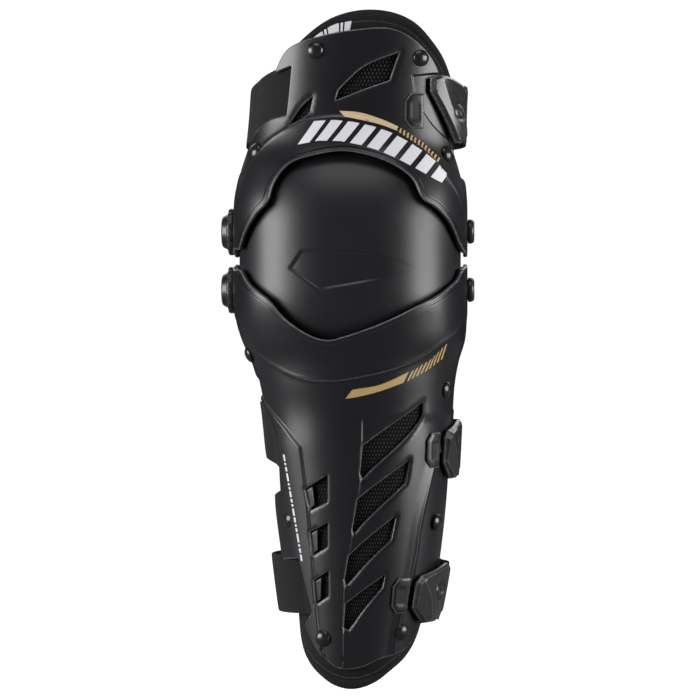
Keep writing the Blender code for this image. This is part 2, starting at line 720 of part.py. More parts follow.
def pivot(name, side, axis, edge, parent):
    """One pivot: a screw from inside the cup through a slip washer and a bush into a knob or cap."""

    def place(x):
        return Matrix.Translation((side * x, 0, axis)) @ Matrix.Rotation(side * math.pi / 2, 4, "Y")

    height = edge[-1][1]
    hole_end = height - HEAD_COVER
    hole = ((0.0, hole_end), (SCREW_RADIUS + FIT, hole_end), (SCREW_RADIUS + FIT, 0.0))
    knob = turned("knob", (*hole, *edge, (0.0, height)), ROUND)
    add(name + "_knob", knob, "fitting", place(KNOB_BASE), parent)
    bush_length = EAR_OUTER - CUP_FACE - FIT
    ring = (
        (SCREW_RADIUS + FIT, 0.0),
        (BUSH_RADIUS, 0.0),
        (BUSH_RADIUS, bush_length),
        (SCREW_RADIUS + FIT, bush_length),
    )
    add(name + "_bush", turned("bush", ring, ROUND), "metal", place(CUP_FACE + FIT), parent)
    washer = (
        (BUSH_RADIUS + FIT, 0.0),
        (PIVOT_WASHER_RADIUS, 0.0),
        (PIVOT_WASHER_RADIUS, PIVOT_WASHER),
        (BUSH_RADIUS + FIT, PIVOT_WASHER),
    )
    add(name + "_washer", turned("slip_washer", washer, ROUND), "slip", place(CUP_FACE + FIT), parent)
    head_top = CUP_FACE - WALL - FIT
    tip = KNOB_BASE + hole_end - SCREW_TIP - head_top
    screw = (
        (0.0, SOCKET_DEPTH - SCREW_HEAD),
        (SOCKET_RADIUS, SOCKET_DEPTH - SCREW_HEAD),
        (SOCKET_RADIUS, -SCREW_HEAD),
        (SCREW_HEAD_RADIUS - EDGE, -SCREW_HEAD),
        (SCREW_HEAD_RADIUS, EDGE - SCREW_HEAD),
        (SCREW_HEAD_RADIUS, 0.0),
        (SCREW_RADIUS, 0.0),
        (SCREW_RADIUS, tip - EDGE),
        (SCREW_RADIUS - EDGE, tip),
        (0.0, tip),
    )
    add(name + "_screw", turned("pivot_screw", screw, ROUND), "metal", place(head_top), parent)


# ---------------------------------------------------------------- rivets
def rivets(name, skin, places, parent):
    """Dome-headed rivets through a shell, each closed over a washer inside it."""
    seat = -(WALL + 2 * FIT + RIVET_WASHER)  # inner face of the washer, from the shell's surface
    under = seat - 3 * FIT  # the rivet's own origin is its head's seat, 2 gaps above the shell
    steps = np.radians((90, 62, 34))
    dome = [(RIVET_RADIUS * math.cos(a), RIVET_DOME * math.sin(a)) for a in steps]
    dome[0] = (0.0, RIVET_DOME)
    rivet = turned(
        "rivet",
        (
            (0.0, under - RIVET_TAIL),
            (RIVET_SHANK + RIVET_SPREAD, under - RIVET_TAIL),
            (RIVET_SHANK + RIVET_SPREAD, under),
            (RIVET_SHANK, under),
            (RIVET_SHANK, 0.0),
            (RIVET_RADIUS, 0.0),
            (RIVET_RADIUS, RIVET_RIM),
            *[(r, h + RIVET_RIM) for r, h in reversed(dome)],
        ),
        SMALL_ROUND,
    )
    washer = turned(
        "rivet_washer",
        (
            (RIVET_SHANK + FIT, 0.0),
            (RIVET_WASHER_RADIUS, 0.0),
            (RIVET_WASHER_RADIUS, RIVET_WASHER),
            (RIVET_SHANK + FIT, RIVET_WASHER),
        ),
        SMALL_ROUND,
    )
    rivet.materials.append(finish("metal"))
    washer.materials.append(finish("metal"))
    for number, (x, z) in enumerate(skin.flat(places), 1):
        frame = skin.frame(skin.angle_at(x, z), z)
        over, under = (frame @ Matrix.Translation((0, 0, height)) for height in (2 * FIT, seat))
        add(f"{name}_rivet_{number}", rivet, "metal", over, parent)
        add(f"{name}_rivet_washer_{number}", washer, "metal", under, parent)


# ---------------------------------------------------------------- straps
def strap_set(name, skin, start, nose, heights, parent):
    """An elastic strap, its sewn tail, its hook plate and the catch that holds the plate."""
    at_start, behind, at_plate = (float(skin.height(place)) for place in heights)
    start, nose = math.radians(start), math.radians(nose)
    plate_end = skin.angle_after(nose, at_plate, CLIP_LENGTH)
    tail_start = skin.angle_after(plate_end, at_plate, FIT)
    tail_end = skin.angle_after(tail_start, at_plate, TAIL_LENGTH)
    strap_end = skin.angle_after(tail_end, at_plate, FIT)
    outside = 2 * FIT  # underside of the webbing over the shell

    lift = CLIP_LIFT + CLIP / 2
    foot = skin.point(nose, at_plate - CLIP_WIDTH / 2, lift)
    head = skin.point(nose, at_plate + CLIP_WIDTH / 2, lift)
    middle = Vector((foot + head) / 2)
    hinge = bpy.data.objects.new(name + "_clip_hinge", None)
    bpy.context.collection.objects.link(hinge)
    hinge.parent = parent
    up = Vector(head - foot).normalized()
    hinge.matrix_world = Matrix.Translation(middle) @ up.to_track_quat("Z", "Y").to_matrix().to_4x4()
    bpy.context.view_layer.update()

    angles = np.linspace(nose, plate_end, 9)
    share = np.linspace(0, 1, 9)
    half = CLIP_WIDTH / 2 * np.interp(share, *CLIP_OUTLINE)
    crown = CLIP * np.interp(share, *CLIP_CROWN)
    plate = patch(
        name + "_clip", skin, angles, at_plate - half, at_plate + half, CLIP_LIFT, CLIP_LIFT + crown, 5
    )
    add(name + "_clip", plate, "fitting", parent=hinge)

    angles = np.linspace(tail_start, tail_end, 7)
    tail = patch(
        name + "_strap_tail",
        skin,
        angles,
        at_plate - STRAP_WIDTH / 2,
        at_plate + STRAP_WIDTH / 2,
        outside,
        outside + STRAP,
        3,
    )
    add(name + "_strap_tail", tail, "webbing", parent=hinge)

    catch_end = skin.angle_after(nose, at_plate, -CATCH_GAP)
    catch_start = skin.angle_after(catch_end, at_plate, -CATCH_LENGTH)
    angles = np.linspace(catch_start, catch_end, 5)
    share = np.linspace(0, 1, 5)
    half = CATCH_WIDTH / 2 * np.interp(share, *CATCH_OUTLINE)
    crown = CATCH * np.interp(share, *CATCH_CROWN)
    catch = patch(name + "_catch", skin, angles, at_plate - half, at_plate + half, FIT, FIT + crown, 3)
    add(name + "_catch", catch, "fitting", parent=parent)

    share = np.linspace(0, 1, 41)
    angles = strap_end + share * (2 * math.pi + start - strap_end)
    height = np.interp(share, (0, 0.5, 1), (at_plate, behind, at_start))
    tucked = UNDER_SHELL - STRAP - FIT
    lift = np.interp(angles, np.radians(TUCK), (outside, tucked))
    low, high = height - STRAP_WIDTH / 2, height + STRAP_WIDTH / 2
    band = patch(name + "_strap", skin, angles, low, high, lift, lift + STRAP, 3)
    add(name + "_strap", band, "webbing", parent=parent)


# ---------------------------------------------------------------- assembly
for old in list(bpy.data.objects):
    bpy.data.objects.remove(old, do_unlink=True)


def body(name, z, parent=None):
    """An empty on a hinge axis that carries what turns there."""
    holder = bpy.data.objects.new(name, None)
    bpy.context.collection.objects.link(holder)
    holder.parent = parent
    holder.matrix_world = Matrix.Translation((0, 0, z))
    bpy.context.view_layer.update()
    return holder


knee = body("knee_body", LOWER_AXIS)
thigh = body("thigh_body", UPPER_AXIS, knee)

foot = SHIN_FOOT - CUT / 2
shell("shin_shell", shin_skin, foot, SHIN_FRONT, SHIN_REAR, SHIN_VENTS, SHIN_RIVETS)
top = CUFF_TOP + CUT / 2
cuff = shell("thigh_cuff", cuff_skin, top, CUFF_FRONT, CUFF_REAR, CUFF_VENTS, CUFF_RIVETS)
cuff.parent = thigh
cuff.matrix_parent_inverse = thigh.matrix_world.inverted()
knee_cup = cup()
liner = knee_liner()
for piece in (knee_cup, liner):
    piece.parent = knee
    piece.matrix_parent_inverse = knee.matrix_world.inverted()

thigh_liner = outer_liner("thigh_liner", cuff_skin, THIGH_LINER_NEAR, THIGH_LINER_FAR, 6)
thigh_liner.parent = thigh
thigh_liner.matrix_parent_inverse = thigh.matrix_world.inverted()
outer_liner("shin_liner", shin_skin, SHIN_LINER_NEAR, SHIN_LINER_FAR, 10)
stretch_panel("upper_stretch_panel", True, knee)
stretch_panel("lower_stretch_panel", False, knee)

for side, side_name, edge in ((-1, "inner", KNOB_EDGE), (1, "outer", CAP_EDGE)):
    pivot(f"upper_{side_name}_pivot", side, UPPER_AXIS, edge, knee)
    pivot(f"lower_{side_name}_pivot", side, LOWER_AXIS, edge, knee)

rivets("cuff", cuff_skin, CUFF_RIVETS, thigh)
rivets("shin", shin_skin, SHIN_RIVETS, None)

strap_set("thigh", cuff_skin, parent=thigh, **STRAPS["thigh"])
strap_set("upper_calf", shin_skin, parent=None, **STRAPS["upper_calf"])
strap_set("lower_calf", shin_skin, parent=None, **STRAPS["lower_calf"])
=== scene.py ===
# %% [markdown]
# # Looks of a knee guard
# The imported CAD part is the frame: it says where every piece is and how it turns.
# This lesson replaces its plain solids, one by one, with finished pieces worked out
# as surfaces in numpy, and gives each of them the finish that the real piece has.

# %% Load the frame and keep its box
import math

import bmesh
import bpy
import numpy as np
from mathutils import Matrix, Vector
from mathutils.geometry import delaunay_2d_cdt


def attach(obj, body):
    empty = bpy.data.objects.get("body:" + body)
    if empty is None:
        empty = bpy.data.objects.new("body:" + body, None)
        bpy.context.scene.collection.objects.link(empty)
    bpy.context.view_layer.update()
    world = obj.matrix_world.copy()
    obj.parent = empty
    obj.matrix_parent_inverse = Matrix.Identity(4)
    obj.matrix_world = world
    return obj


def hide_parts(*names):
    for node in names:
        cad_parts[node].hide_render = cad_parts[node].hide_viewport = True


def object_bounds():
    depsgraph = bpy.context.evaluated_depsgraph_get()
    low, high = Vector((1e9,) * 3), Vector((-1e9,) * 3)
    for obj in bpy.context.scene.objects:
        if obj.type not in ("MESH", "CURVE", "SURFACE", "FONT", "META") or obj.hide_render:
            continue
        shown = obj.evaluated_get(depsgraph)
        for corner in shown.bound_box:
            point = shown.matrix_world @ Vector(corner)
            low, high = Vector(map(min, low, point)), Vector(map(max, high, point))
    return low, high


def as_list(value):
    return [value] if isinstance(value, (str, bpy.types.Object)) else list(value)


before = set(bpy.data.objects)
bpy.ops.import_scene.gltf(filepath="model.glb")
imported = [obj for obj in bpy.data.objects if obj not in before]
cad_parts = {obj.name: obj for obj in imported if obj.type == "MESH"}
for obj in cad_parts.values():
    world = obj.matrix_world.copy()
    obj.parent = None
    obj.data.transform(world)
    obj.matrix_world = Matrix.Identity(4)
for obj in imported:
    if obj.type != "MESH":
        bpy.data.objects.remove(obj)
cad_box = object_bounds()
print("CAD box", cad_box)
MM = 0.001

# %% [markdown]
# ## Camera, light and floor
# A knee guard is shown from straight in front, a long lens keeping its sides
# parallel.  Two wide soft boxes at the sides draw the long highlights that tell
# satin plastic from cloth, and a pale floor under a white sky keeps the rest quiet.
# A sky that is brighter near the horizon would do the same with one light fewer,
# but soft boxes are what a studio has.

# %% Camera
SIDEWAYS = math.radians(3.0)  # camera turned towards the outer side of the leg
DISTANCE = 2.0
across_view = Vector((math.cos(SIDEWAYS), math.sin(SIDEWAYS), 0))
into_view = Vector((-math.sin(SIDEWAYS), math.cos(SIDEWAYS), 0))
aim = -0.0007 * across_view + Vector((0, 0, -0.062))

camera = bpy.data.objects.new("camera", bpy.data.cameras.new("camera"))
bpy.context.collection.objects.link(camera)
camera.data.sensor_width = 36.0
camera.data.lens = 148.0
camera.location = aim - DISTANCE * into_view
camera.rotation_euler = (math.pi / 2, 0, SIDEWAYS)
bpy.context.scene.camera = camera
bpy.context.scene.view_settings.view_transform = "Standard"


# %% Soft boxes
def soft_box(name, place, size, power, towards=(0, 0, -0.06)):
    """An area light at a place, facing another."""
    light = bpy.data.lights.new(name, "AREA")
    light.shape = "RECTANGLE"
    light.size, light.size_y = size
    light.energy = power
    holder = bpy.data.objects.new(name, light)
    bpy.context.collection.objects.link(holder)
    holder.location = place
    holder.rotation_euler = (Vector(towards) - Vector(place)).to_track_quat("-Z", "Y").to_euler()


soft_box("left_box", (-1.5, -0.62, 0.02), (1.1, 1.2), 50)
soft_box("right_box", (1.55, -0.50, -0.02), (1.1, 1.2), 44)
soft_box("top_box", (0.0, -0.9, 1.7), (1.4, 0.9), 10)
soft_box("back_box", (0.1, 1.6, 0.9), (2.4, 1.0), 14)

# %% [markdown]
# ## Shader maths in Python
# A procedural material is a small calculation.  Written as nodes it fills a
# screen, so one class wraps a socket and lets Python's operators add Math nodes.

# %% A socket that takes part in sums


class Wire:
    """An output socket; maths on it adds Math nodes to the same tree."""

    def __init__(self, socket):
        self.socket = socket

    def node(self, kind, settings=None, inputs=None, output=0):
        """Any other node: its settings first, then the values or wires of its sockets."""
        made = self.socket.id_data.nodes.new(kind)
        for key, value in (settings or {}).items():
            if key == "stops":
                for place, colour in value[len(made.color_ramp.elements):]:
                    made.color_ramp.elements.new(place)
                for stop, (place, colour) in zip(made.color_ramp.elements, value):
                    stop.position, stop.color = place, colour
            else:
                setattr(made, key, value)
        for key, value in (inputs or {}).items():
            if isinstance(value, Wire):
                self.socket.id_data.links.new(value.socket, made.inputs[key])
            else:
                made.inputs[key].default_value = value
        return Wire(made.outputs[output])

    def sum(self, operation, *values):
        return self.node("ShaderNodeMath", {"operation": operation}, dict(enumerate(values)))

    def __add__(self, other):
        return self.sum("ADD", self, other)

    __radd__ = __add__

    def __mul__(self, other):
        return self.sum("MULTIPLY", self, other)

    __rmul__ = __mul__

    def __sub__(self, other):
        return self.sum("SUBTRACT", self, other)

    def __rsub__(self, other):
        return self.sum("SUBTRACT", other, self)

    def __truediv__(self, other):
        return self.sum("DIVIDE", self, other)

    def wave(self, period):
        """A sine between 0 and 1 that repeats every period."""
        return self.sum("SINE", self * (2 * math.pi / period)) * 0.5 + 0.5

    def step(self, low, high):
        """0 below low, 1 above high and smooth between."""
        names = {"Value": self, "From Min": low, "From Max": high}
        return self.node("ShaderNodeMapRange", {"interpolation_type": "SMOOTHSTEP"}, names)


def between(share, first, second):
    """The mix of two colours by a wire between 0 and 1."""
    names = {0: share, 6: (*first, 1), 7: (*second, 1)}
    return share.node("ShaderNodeMix", {"data_type": "RGBA"}, names, output=2)


class Finish:
    """A Principled material whose inputs are set by name."""

    def __init__(self, name, **constants):
        self.material = bpy.data.materials.new(name)
        self.material.use_nodes = True
        self.tree = self.material.node_tree
        self.shader = self.tree.nodes["Principled BSDF"]
        for key, value in constants.items():
            self.shader.inputs[key.replace("_", " ").title().replace("Ior", "IOR")].default_value = value

    def first(self, kind, output, **settings):
        node = self.tree.nodes.new(kind)
        for key, value in settings.items():
            setattr(node, key, value)
        return Wire(node.outputs[output])

    def places(self):
        return self.first("ShaderNodeTexCoord", "Object")

    def flat(self):
        return self.first("ShaderNodeUVMap", "UV", uv_map="flat")

    def attribute(self, name):
        return self.first("ShaderNodeAttribute", "Fac", attribute_name=name)

    def noise(self, scale, detail=2.0, vector=None):
        names = {"Vector": vector or self.places(), "Scale": scale, "Detail": detail}
        return names["Vector"].node("ShaderNodeTexNoise", None, names, output="Fac")

    def set(self, key, wire):
        self.tree.links.new(wire.socket, self.shader.inputs[key])

    def bump(self, height, depth, strength=1.0):
        """Raise the surface by height times depth, in metres."""
        names = {"Height": height, "Distance": depth, "Strength": strength}
        self.set("Normal", height.node("ShaderNodeBump", None, names))


# %% [markdown]
# ## Finishes
# Guards are injection moulded in nylon or polypropylene from a tool with a fine
# spark-eroded grain, which is why the shells look satin and pick up a paler line
# where an edge has been handled.  Here that paler line is painted along the edges
# and creases, partly as wear and partly as a painted highlight where they catch
# the light.  The grain, a slow change of gloss and that line are three separate
# noises here, so each can be turned on its own.

# %% Moulded plastic


def moulded(name, colour, wear_and_highlight, roughness, grain, coat=0.0):
    made = Finish(name, roughness=roughness, coat_weight=coat, coat_roughness=0.25)
    cloud = made.noise(22.0, 3.0)
    fine = made.noise(2600.0, 1.0)
    speck = made.noise(420.0, 3.0).step(0.45, 0.75)
    rim = made.attribute("rim")
    # The paler colour is painted on the rim values: wear on edges, and a painted highlight on edges, creases
    # and ridges.
    edge = (rim * (0.70 + 0.30 * speck)).step(0.18, 1.0)
    made.set("Base Color", between(edge, colour, wear_and_highlight))
    made.set("Roughness", roughness - 0.05 + 0.10 * cloud + 0.03 * speck - 0.06 * edge)
    made.bump(fine + 0.6 * speck, grain)
    return made.material


shell_black = moulded("shell_black", (0.0080, 0.0072, 0.0092), (0.150, 0.148, 0.160), 0.33, 0.000012)
cup_black = moulded("cup_black", (0.0075, 0.0068, 0.0090), (0.060, 0.059, 0.066), 0.41, 0.000007)
fitting_black = moulded("fitting_black", (0.0220, 0.0220, 0.0240), (0.120, 0.120, 0.126), 0.27, 0.000006)
knob_black = moulded("knob_black", (0.0100, 0.0100, 0.0110), (0.060, 0.060, 0.064), 0.33, 0.000010)


# %% Cloths
def knitted(name, colour, thread, pitch, depth):
    """Brushed knit: slanted loops from two crossed waves, with a fuzz of fibres over them."""
    made = Finish(name, roughness=0.92, sheen_weight=0.10, sheen_roughness=0.45, specular_ior_level=0.2)
    made.shader.inputs["Sheen Tint"].default_value = (0.5, 0.5, 0.55, 1)
    parts = made.places()
    x = parts.node("ShaderNodeSeparateXYZ", None, {0: parts}, 0)
    y = parts.node("ShaderNodeSeparateXYZ", None, {0: parts}, 1)
    z = parts.node("ShaderNodeSeparateXYZ", None, {0: parts}, 2)
    fibres = made.noise(1500.0, 3.0)
    round_leg = x + y * 0.7
    loops = (round_leg + z).wave(pitch) * (round_leg - z).wave(pitch)
    tone = (loops * 0.7 + fibres * 0.5).step(0.1, 1.0)
    made.set("Base Color", between(tone, colour, thread))
    made.bump(loops + 0.5 * fibres, depth)
    return made.material


def webbing_of(name, colour, thread):
    """Elastic webbing: ribs along the strap, crossed by its weft, in the strap's own map."""
    made = Finish(name, roughness=0.90, sheen_weight=0.08, sheen_roughness=0.4, specular_ior_level=0.2)
    flat = made.flat()
    along = flat.node("ShaderNodeSeparateXYZ", None, {0: flat}, 0)
    over = flat.node("ShaderNodeSeparateXYZ", None, {0: flat}, 1)
    ribs = over.wave(0.0013)
    weft = (along + 0.00030 * ribs).wave(0.0010)
    fibres = made.noise(2200.0, 2.0)
    tone = (0.55 * ribs + 0.35 * weft + 0.35 * fibres).step(0.15, 1.05)
    made.set("Base Color", between(tone, colour, thread))
    made.bump(ribs + 0.6 * weft + 0.3 * fibres, 0.00022)
    return made.material


def meshed(name, colour, thread, pitch):
    """Spacer mesh: knots of thread where two crossed waves both rise, dark between them: the knots painted
    paler as painted highlights, the openings painted near black as painted shade.
    """
    made = Finish(name, roughness=0.85, specular_ior_level=0.15)
    flat = made.flat()
    u = flat.node("ShaderNodeSeparateXYZ", None, {0: flat}, 0)
    v = flat.node("ShaderNodeSeparateXYZ", None, {0: flat}, 1)
    net = (u + 0.577 * v).wave(pitch) * (u - 0.577 * v).wave(pitch)
    solid = net.step(0.42, 0.70)
    tone = solid * (0.6 + 0.6 * made.noise(1800.0, 2.0))
    made.set("Base Color", between(tone, colour, thread))
    made.bump(solid, 0.0006)
    return made.material


liner_cloth = knitted("liner_cloth", (0.0050, 0.0050, 0.0055), (0.017, 0.017, 0.0185), 0.0016, 0.00022)
binding_cloth = knitted("binding_cloth", (0.0060, 0.0060, 0.0065), (0.021, 0.021, 0.023), 0.0009, 0.00012)
stretch_cloth = knitted("stretch_cloth", (0.0060, 0.0060, 0.0066), (0.020, 0.020, 0.022), 0.0008, 0.00010)
webbing = webbing_of("ribbed_webbing", (0.0025, 0.0025, 0.0028), (0.019, 0.0185, 0.0205))
# The first colour is painted shade in the openings, darker than any black in the guard; the second is a
# painted highlight on the knots.
vent_mesh = meshed("vent_mesh", (0.0015, 0.0015, 0.0017), (0.045, 0.045, 0.049), 0.0030)


# %% Inks, metal and nylon
def inked(name, low, high, roughness):
    """Pad-printed ink: even, a little broken where it lies over the grain."""
    made = Finish(name, roughness=roughness)
    breaks = made.noise(900.0, 3.0).step(0.20, 0.42)
    made.set("Base Color", between(breaks, low, high))
    made.bump(breaks, 0.00002)
    return made.material


white_ink = inked("white_ink", (0.52, 0.53, 0.55), (0.63, 0.64, 0.66), 0.5)
gold_ink = inked("gold_ink", (0.34, 0.225, 0.080), (0.46, 0.32, 0.130), 0.42)
pale_gold_ink = inked("pale_gold_ink", (0.44, 0.32, 0.19), (0.54, 0.41, 0.26), 0.42)
thread_grey = inked("thread_grey", (0.020, 0.020, 0.022), (0.05, 0.05, 0.055), 0.8)


def plain(name, colour, roughness, metallic, scale, depth):
    """A turned or moulded small part: colour with a slow cloud, and fine tool marks."""
    made = Finish(name, roughness=roughness, metallic=metallic)
    cloud = made.noise(60.0, 3.0)
    dark = tuple(c * 0.7 for c in colour)
    made.set("Base Color", between(cloud, dark, colour))
    made.set("Roughness", roughness - 0.08 + 0.16 * cloud)
    made.bump(made.noise(scale, 2.0), depth)
    return made.material


steel = plain("black_steel", (0.16, 0.16, 0.17), 0.34, 0.9, 1500.0, 0.00002)
nylon = plain("nylon", (0.58, 0.57, 0.54), 0.5, 0.0, 900.0, 0.00002)

# %% [markdown]
# ## The floor
# One broad pale sheet under the guard, the same white as the sky, so that no
# horizon crosses behind it.

# %% Floor and sky
SKY_LIGHT = 0.02  # what the guard sees of the white sky behind the camera
floor_white = Finish("floor_white", roughness=0.9)
floor_white.shader.inputs["Emission Color"].default_value = (1, 1, 1, 1)
floor_white.set("Base Color", between(floor_white.noise(3.0), (0.13, 0.13, 0.13), (0.16, 0.16, 0.16)))
floor_seen = floor_white.first("ShaderNodeLightPath", "Is Camera Ray")
floor_white.set("Emission Strength", floor_seen * 1.05)
floor_mesh = bpy.data.meshes.new("floor")
FLOOR_REACH, FLOOR_SIDES, FLOOR_DROP = 9.0, 96, 0.0145
ring = np.linspace(0, 2 * np.pi, FLOOR_SIDES + 1)[:-1]
floor_level = np.full(FLOOR_SIDES, cad_box[0].z - FLOOR_DROP)
rim_points = np.stack([FLOOR_REACH * np.cos(ring), FLOOR_REACH * np.sin(ring), floor_level], axis=1)
floor_mesh.from_pydata(rim_points.tolist(), [], [list(range(FLOOR_SIDES))])
floor = bpy.data.objects.new("floor", floor_mesh)
floor_mesh.materials.append(floor_white.material)
bpy.context.collection.objects.link(floor)

sky = bpy.data.worlds.new("sky")
sky.use_nodes = True
background = sky.node_tree.nodes["Background"]
background.inputs["Color"].default_value = (1, 1, 1, 1)
seen = Wire(sky.node_tree.nodes.new("ShaderNodeLightPath").outputs["Is Camera Ray"])
sky.node_tree.links.new((seen * (1.05 - SKY_LIGHT) + SKY_LIGHT).socket, background.inputs["Strength"])
bpy.context.scene.world = sky

# %% [markdown]
# ## The leg's surface
# Both outer shells, the liners and the straps follow one surface, a stack of
# superellipses round the leg.  A shape on it is drawn flat, as a tailor cuts cloth:
# one coordinate runs round the leg and the other up it, and the surface's formula
# carries the drawing into place.  Sculpting would be quicker to start, but then
# nothing would fit the pivots.

# %% Sizes the frame was built with
UPPER_AXIS, LOWER_AXIS = 0.0202, -0.0202
WALL = 0.0030
EAR_OUTER, EAR_RADIUS = 0.0808, 0.0178
SHELL_HALF, SHELL_FRONT = 0.0804, 0.0830
CUFF_REACH, SHIN_REACH = 0.1552, -0.2772
LINER_OUT, LINER_IN = -0.0061, -0.0146

# Each row: share of the way to the shell's far end, then how much narrower and how
# much flatter than at the knee, the shift outwards, the depth behind the middle
# plane (these four in millimetres), and the squareness.
SHIN_ROWS = (
    (0.00, 0.0, 0.0, 0.0, 70, 2.6), (0.11, 0.3, 0.0, 0.0, 68, 2.6), (0.15, 0.6, 2.5, 0.6, 67, 2.55),
    (0.20, 3.2, 6.0, 2.0, 65, 2.5), (0.25, 8.3, 9.5, 3.0, 64, 2.4), (0.31, 12.3, 12.0, 4.0, 64, 2.35),
    (0.36, 14.3, 14.5, 5.0, 65, 2.3), (0.47, 16.8, 17.5, 6.0, 66, 2.3), (0.61, 20.8, 20.5, 7.5, 60, 2.3),
    (0.79, 26.8, 24.0, 7.5, 50, 2.3), (0.94, 33.8, 27.0, 6.0, 44, 2.3), (1.08, 40.8, 30.0, 4.0, 42, 2.3),
)
CUFF_ROWS = (
    (0.00, 0.0, 0.0, 0.0, 70, 2.6), (0.13, 0.0, 0.0, 0.0, 70, 2.6), (0.26, -0.3, 4.0, 0.0, 70, 2.55),
    (0.39, 2.3, 12.0, 1.0, 71, 2.5), (0.49, 4.3, 19.0, 2.0, 72, 2.4), (0.58, 5.3, 21.5, 3.0, 73, 2.35),
    (0.71, 5.8, 22.5, 4.0, 75, 2.3), (0.90, 5.8, 22.0, 6.0, 78, 2.3), (1.08, 5.8, 20.5, 8.0, 80, 2.3),
)

# Arc length round a typical section, so that the flat drawing is nearly true to size.
TYPICAL_HALF, TYPICAL_FRONT, TYPICAL_REAR, TYPICAL_POWER = 0.079, 0.081, 0.070, 2.45
turns = np.linspace(0, np.pi, 7201)
across = TYPICAL_HALF * np.sin(turns) ** (2 / TYPICAL_POWER)
deep = -np.where(turns < np.pi / 2, TYPICAL_FRONT, TYPICAL_REAR) * np.sign(np.cos(turns))
typical = np.stack([across, deep * np.abs(np.cos(turns)) ** (2 / TYPICAL_POWER)], axis=1)
arcs = np.concatenate([[0], np.cumsum(np.linalg.norm(np.diff(typical, axis=0), axis=1))])


def round_from(angle):
    """Distance round the leg from its front, of an angle."""
    return np.sign(angle) * np.interp(np.abs(angle), turns, arcs)


def angle_from(distance):
    """The angle at a distance round the leg from its front."""
    return np.sign(distance) * np.interp(np.abs(distance), arcs, turns)


def rise(low, high, value):
    """0 below low, 1 above high, smooth between: 3t^2 - 2t^3."""
    t = np.clip((value - low) / (high - low), 0, 1)
    return t * t * (3 - 2 * t)


class Leg:
    """x = shift + (half + lift) |sin|^(2/p), y = -(depth + lift) |cos|^(2/p), with their signs.

    Half width, depth, shift and power p run through the rows as cubic Hermite curves.
    Within an ear's radius of the hinge axis the side is pressed flat.
    """

    def __init__(self, far, rows, axis):
        table = np.array(rows, float)
        self.far, self.axis, self.share = far, axis, table[:, 0]
        widths = np.stack([SHELL_HALF - table[:, 1] * MM, SHELL_FRONT - table[:, 2] * MM], axis=1)
        self.columns = np.concatenate([widths, table[:, 3:5] * MM, table[:, 5:]], axis=1)
        self.slopes = np.gradient(self.columns, self.share, axis=0)

    def section(self, z):
        t = np.clip(z / self.far, self.share[0], self.share[-1])
        i = np.clip(np.searchsorted(self.share, t) - 1, 0, len(self.share) - 2)
        gap = (self.share[i + 1] - self.share[i])[..., None]
        u = (t - self.share[i])[..., None] / gap
        value = (1 + 2 * u) * (1 - u) ** 2 * self.columns[i] + u * (1 - u) ** 2 * self.slopes[i] * gap
        value += u * u * (3 - 2 * u) * self.columns[i + 1] + u * u * (u - 1) * self.slopes[i + 1] * gap
        return np.moveaxis(value, -1, 0)

    def place(self, flat, lift=0.0):
        """The points of a flat drawing, lifted off the surface."""
        flat = np.asarray(flat, float)
        angle, z = angle_from(flat[..., 0]), flat[..., 1]
        half, front, shift, rear, power = self.section(z)
        s, c = np.sin(angle), np.cos(angle)
        x = shift + (half + lift) * np.sign(s) * np.abs(s) ** (2 / power)
        y = -(np.where(c > 0, front, rear) + lift) * np.sign(c) * np.abs(c) ** (2 / power)
        pressed = 1 - rise(EAR_RADIUS - 0.0005, EAR_RADIUS + 0.0065, np.hypot(y, z - self.axis))
        pressed = pressed * (np.abs(angle) > 1.0)
        x = x + pressed * (np.sign(x) * (EAR_OUTER + lift) - x)
        return np.stack([x, y, z], axis=-1)

    def front(self, *points):
        """Flat places of points given as seen from the front, x and z in millimetres."""
        x, z = np.array(points, float).T * MM
        half, _, shift, _, power = self.section(z)
        share = np.clip((x - shift) / half, -1, 1)
        return np.stack([round_from(np.arcsin(np.sign(share) * np.abs(share) ** (power / 2))), z], axis=1)

    def beside(self, side, *points):
        """Flat places of points given as seen from the side, y and z in millimetres."""
        y, z = np.array(points, float).T * MM
        _, front, _, rear, power = self.section(z)
        share = np.clip(np.abs(y) / np.where(y < 0, front, rear), 0, 1) ** (power / 2)
        return np.stack([side * round_from(np.arccos(-np.sign(y) * share)), z], axis=1)

    def normal(self, flat):
        """Outward directions: the cross product of the two ways along the surface."""
        flat = np.asarray(flat, float)
        small = 2e-4
        around = self.place(flat + [small, 0]) - self.place(flat - [small, 0])
        up = self.place(flat + [0, small]) - self.place(flat - [0, small])
        out = np.cross(around, up)
        return out / np.linalg.norm(out, axis=-1, keepdims=True)


cuff_leg = Leg(CUFF_REACH, CUFF_ROWS, UPPER_AXIS)
shin_leg = Leg(SHIN_REACH, SHIN_ROWS, LOWER_AXIS)
print("round the leg", round(2 * float(arcs[-1]) / MM), "mm")


